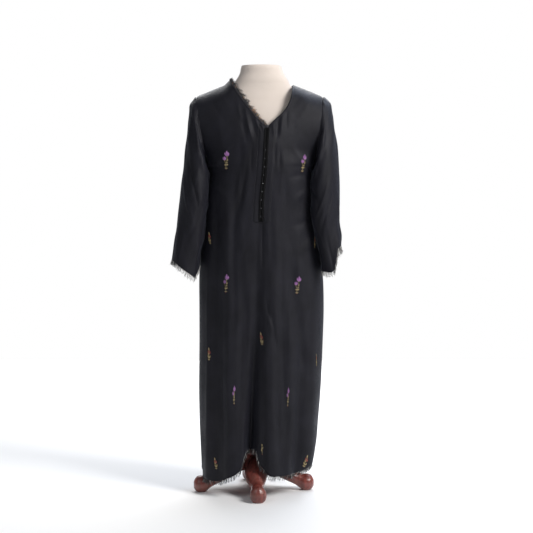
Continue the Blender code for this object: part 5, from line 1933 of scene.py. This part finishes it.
def sprig_patches(kind, middle_x, middle_z, turn, share, side, seed):
    """Patches of one sprig on the cloth, by colour: lists of (points, uv, tints), the tints being painted
    light.

    In the sprig's plane a patch is start + (end - start) * u, bowed sideways, and across it v runs
    over its width, which swells by a power of sin.  Its crown rises by 1 - v squared.  Sideways
    distances are measured along the cloth's own section at the sprig's height."""
    rows = {"purple": PURPLE_SPRIG, "red": RED_SPRIG, "gold": GOLD_SPRIG}[kind]
    rng = np.random.default_rng(seed)
    edge_x = np.linspace(float(section(middle_z, 1)) + 0.0006, float(section(middle_z, 2)) - 0.0006, 1200)
    ring = cloth(edge_x, middle_z, side)
    gone = np.concatenate([[0.0], np.cumsum(np.linalg.norm(np.diff(ring, axis=0), axis=1))])
    here = np.interp(middle_x, edge_x, gone)
    angle = math.radians(turn) + rng.normal(0.0, 0.03)
    size = 0.001 * rng.uniform(0.95, 1.05)
    u, v = np.meshgrid(np.linspace(0.0, 1.0, 12), np.linspace(-1.0, 1.0, 6), indexing="ij")
    made = {}
    for colour, x0, y0, x1, y1, half, bow, widest, tint in rows:
        x0, y0, x1, y1 = np.array([x0, y0, x1, y1]) + rng.normal(0.0, 0.12, 4)
        along = np.array([x1 - x0, y1 - y0])
        length = math.hypot(*along)
        normal = np.array([-along[1], along[0]]) / length
        swell = np.sin(math.pi * np.clip(u ** (math.log(0.5) / math.log(widest)), 0, 1)) ** 0.62
        across = half * v * np.maximum(swell, 0.16) + bow * 4 * u * (1 - u)
        px = x0 + along[0] * u + normal[0] * across
        py = y0 + along[1] * u + normal[1] * across
        flat_x = (px * math.cos(angle) - py * math.sin(angle)) * size
        flat_z = (px * math.sin(angle) + py * math.cos(angle)) * size
        base_x = np.interp(here + flat_x * share, gone, edge_x)
        crown = 0.00025 + (0.00055 + 0.00022 * half) * (1 - v * v) * np.maximum(swell, 0.3)
        points = cloth(base_x, middle_z + flat_z, side, crown)
        uv = np.stack([u * length * 0.001, v * half * 0.001], axis=-1)
        # the tint is painted light: where the patch lies between the thread's shaded and lit copies
        made.setdefault(colour, []).append((points, uv, np.full(u.shape, tint)))
    return made


class KURTA_OT_embroidery(bpy.types.Operator):
    """Embroiders the sprigs: raised satin-stitch petals, leaves and stems over front and back"""

    bl_idname = "kurta.embroidery"
    bl_label = "Embroidery"

    def execute(self, context):
        look = context.scene.kurta_cloth
        for side, word, sprigs in ((-1, "front", FRONT_SPRIGS), (1, "back", BACK_SPRIGS)):
            found = {}
            for number, (kind, x, z, turn, share) in enumerate(sprigs):
                for colour, patches in sprig_patches(kind, x, z, turn, share, side, 100 + number).items():
                    found.setdefault(colour, []).extend(patches)
            for colour, patches in found.items():
                points = np.stack([p for p, _, _ in patches])
                # a patch whose across runs against the cloth's x is turned, to keep its face outwards
                start = (np.arange(len(points)) * 72)[:, None, None]
                base = grid_quads(12, 6).reshape(1, -1, 4) + start
                turned = base[..., ::-1]
                normal_y = np.cross(
                    points[:, 5, 3] - points[:, 5, 2], points[:, 6, 2] - points[:, 5, 2]
                )[:, 1]
                quads = np.where((np.sign(normal_y) == side)[:, None, None], base, turned)
                # painted light: a shaded and a lit copy of the thread colour, between which each patch's tint
                # chooses
                shaded = tuple(0.62 * c for c in getattr(look, colour))
                lit = tuple(min(1.0, 1.25 * c) for c in getattr(look, colour))
                made = put_mesh(
                    f"kurta_embroidery_{colour}_{word}",
                    points,
                    [quads.reshape(-1, 4)],
                    satin_finish(f"{colour}_satin_stitch", shaded, lit),
                    uv=np.stack([w for _, w, _ in patches]),
                    tints=np.stack([t for _, _, t in patches]),
                )
                solid_wall(made, 0.0003)
                keep(made)
        return {"FINISHED"}


# ---- the dress form and its stand --------------------------------------------------------------
class KURTA_OT_form(bpy.types.Operator):
    """Makes the padded torso of the form, with its neck and flat top"""

    bl_idname = "kurta.form"
    bl_label = "Dress form"

    def execute(self, context):
        levels = column(FORM_SECTIONS, 0)
        heights = np.concatenate(
            [
                np.linspace(0.630, 0.640, 8)[:-1],
                np.linspace(0.640, 1.300, 150)[:-1],
                np.linspace(1.300, 1.3725, 26),
            ]
        )
        heights = np.concatenate([heights, [1.3729, 1.3732]])
        x, y, half, front, back = (
            smooth_curve(heights, levels, column(FORM_SECTIONS, i))[:, None] for i in range(1, 6)
        )
        angle = np.linspace(0, 2 * math.pi, 112, endpoint=False)[None, :]
        cos, sin = np.cos(angle), np.sin(angle)
        power = 2 / FORM_ROUNDNESS
        # a faint welt where the cover's neck piece is sewn on, and one round the top
        welt = 0.0003 * np.exp(
            -(((heights - 1.3200) / 0.0016) ** 2)
        ) + 0.0002 * np.exp(-(((heights - 1.3640) / 0.0014) ** 2))
        half, front, back = half + welt[:, None], front + welt[:, None], back + welt[:, None]
        ring_x = x + half * np.sign(cos) * np.abs(cos) ** power
        ring_y = y + np.where(sin > 0, back, front) * np.sign(sin) * np.abs(sin) ** power
        rings = np.stack(np.broadcast_arrays(ring_x, ring_y, heights[:, None]), axis=-1)
        top = [rings[-1].mean(0) + (rings[-1] - rings[-1].mean(0)) * s for s in (0.93, 0.7, 0.4, 0.15)]
        low = [rings[0].mean(0) + (rings[0] - rings[0].mean(0)) * s for s in (0.15, 0.4, 0.7, 0.93)]
        rings = np.concatenate([np.stack(low), rings, np.stack(top)])
        points, faces = closed_loft(rings)
        uv = np.concatenate([lengths_uv(rings).reshape(-1, 2), np.zeros((2, 2))])
        made = put_mesh("kurta_form", points, faces, cover_finish(), uv=uv)
        keep(made, ("dress_form",))
        return {"FINISHED"}


class KURTA_OT_stand(bpy.types.Operator):
    """Makes the pole, the turned hub and the four carved legs"""

    bl_idname = "kurta.stand"
    bl_label = "Stand"

    def execute(self, context):
        wood = wood_finish()
        angle = np.linspace(0, 2 * math.pi, 48, endpoint=False)
        cos, sin = np.cos(angle), np.sin(angle)
        share = np.linspace(0.0, 1.0, 40)[:, None]
        x = STAND_X + (POLE_TOP_X - STAND_X) * share
        z = (HUB_TOP_Z - 0.004) + (POLE_TOP_Z + 0.003 - HUB_TOP_Z + 0.004) * share
        rings = np.stack(np.broadcast_arrays(x + POLE_RADIUS * cos, POLE_RADIUS * sin, z), axis=-1)
        pole = put_mesh("kurta_pole", *closed_loft(rings), wood)
        keep(pole, ("stand_pole",))
        steps = np.arange(len(HUB_PROFILE))
        at = np.linspace(0, len(HUB_PROFILE) - 1, 130)
        radius = smooth_curve(at, steps, column(HUB_PROFILE, 0))[:, None]
        height = smooth_curve(at, steps, column(HUB_PROFILE, 1))[:, None]
        # turned beads and coves: two narrow grooves cut round the hub
        for groove in (0.0805, 0.1230):
            radius = radius - 0.0013 * np.exp(-(((height - groove) / 0.0013) ** 2))
        rings = np.stack(np.broadcast_arrays(STAND_X + radius * cos, radius * sin, height), axis=-1)
        hub = put_mesh("kurta_hub", *closed_loft(rings), wood)
        keep(hub, ("stand_hub",))
        for number in range(4):
            leg = put_mesh(
                f"kurta_leg_{number + 1}", *self.leg(STAND_TURN + math.radians(90 * number - 90)), wood
            )
            keep(leg, (f"stand_leg_{number + 1}",))
        return {"FINISHED"}

    def leg(self, heading):
        """A leg: rings across a line out from the stand's axis, with a soft keel along its top."""
        steps = np.arange(len(LEG_SECTIONS))
        at = np.linspace(0, len(LEG_SECTIONS) - 1, 80)
        place, middle, tall, wide = (
            smooth_curve(at, steps, column(LEG_SECTIONS, i))[:, None] for i in range(4)
        )
        angle = np.linspace(0, 2 * math.pi, 56, endpoint=False)[None, :]
        cos, sin = np.cos(angle), np.sin(angle)
        side = wide * np.sign(cos) * np.abs(cos) ** 0.9
        up = tall * np.sign(sin) * np.abs(sin) ** 0.9
        up = up + LEG_KEEL * tall * np.maximum(sin, 0.0) ** 8
        height = np.maximum(middle + up, 0.0)
        hub = 0.0348
        out = np.where(side**2 < hub**2, np.maximum(place, np.sqrt(np.maximum(hub**2 - side**2, 0.0))), place)
        out[0] = np.sqrt(np.maximum(0.0345**2 - side[0] ** 2, 0.0001))
        rings = np.stack(
            [
                STAND_X + out * math.cos(heading) - side * math.sin(heading),
                out * math.sin(heading) + side * math.cos(heading),
                height,
            ],
            axis=-1,
        )
        return closed_loft(rings)


class KURTA_OT_cut(bpy.types.Operator):
    """Lists the names of the pieces sewn onto the front and onto the back, and does nothing more with them"""

    bl_idname = "kurta.cut"
    bl_label = "Cut of the cloth"

    def execute(self, context):
        front_with = ["kurta_band_left", "kurta_band_right", "kurta_opening_strip", "kurta_opening_loops"]
        front_with += ["kurta_opening_stitching", "kurta_neck_binding_right", "kurta_neck_tape"]
        front_with += ["kurta_neck_fraying", "kurta_hem_fringe_front"]
        front_with += [f"kurta_embroidery_{c}_front" for c in ("purple", "red", "gold")]
        back_with = ["kurta_neck_binding_back", "kurta_hem_fringe_back"]
        back_with += [f"kurta_embroidery_{c}_back" for c in ("purple", "red", "gold")]
        return {"FINISHED"}


class KURTA_PT_sidebar(bpy.types.Panel):
    """Lists the sizes, the colours and the pieces"""

    bl_idname = "KURTA_PT_sidebar"
    bl_label = "Kurta tunic"
    bl_space_type = "VIEW_3D"
    bl_region_type = "UI"
    bl_category = "Kurta"

    def draw(self, context):
        scene = context.scene
        for group in (scene.kurta_cloth, scene.kurta_trim, scene.kurta_stand, scene.kurta_stage):
            box = self.layout.box()
            for name in group.__annotations__:
                box.prop(group, name)
        for step in STEPS:
            self.layout.operator(step.bl_idname)


STEPS = (
    KURTA_OT_stage,
    KURTA_OT_body,
    KURTA_OT_sleeves,
    KURTA_OT_opening,
    KURTA_OT_neck,
    KURTA_OT_fringes,
    KURTA_OT_embroidery,
    KURTA_OT_form,
    KURTA_OT_stand,
    KURTA_OT_cut,
)
GROUPS = {
    "kurta_cloth": KurtaCloth,
    "kurta_trim": KurtaTrim,
    "kurta_stand": KurtaStand,
    "kurta_stage": KurtaStage,
}


def register():
    """Registers the settings, the operators and the panel."""
    for name, group in GROUPS.items():
        bpy.utils.register_class(group)
        setattr(bpy.types.Scene, name, PointerProperty(type=group))
    for kind in (*STEPS, KURTA_PT_sidebar):
        bpy.utils.register_class(kind)


def unregister():
    """Takes them away again."""
    for kind in reversed((*STEPS, KURTA_PT_sidebar)):
        bpy.utils.unregister_class(kind)
    for name, group in GROUPS.items():
        delattr(bpy.types.Scene, name)
        bpy.utils.unregister_class(group)


def main():
    """Makes every piece in order."""
    register()
    bpy.ops.kurta.stage()
    bpy.ops.kurta.body()
    bpy.ops.kurta.sleeves()
    bpy.ops.kurta.opening()
    bpy.ops.kurta.neck()
    bpy.ops.kurta.fringes()
    bpy.ops.kurta.embroidery()
    bpy.ops.kurta.form()
    bpy.ops.kurta.stand()
    bpy.ops.kurta.cut()


if __name__ == "__main__":
    main()
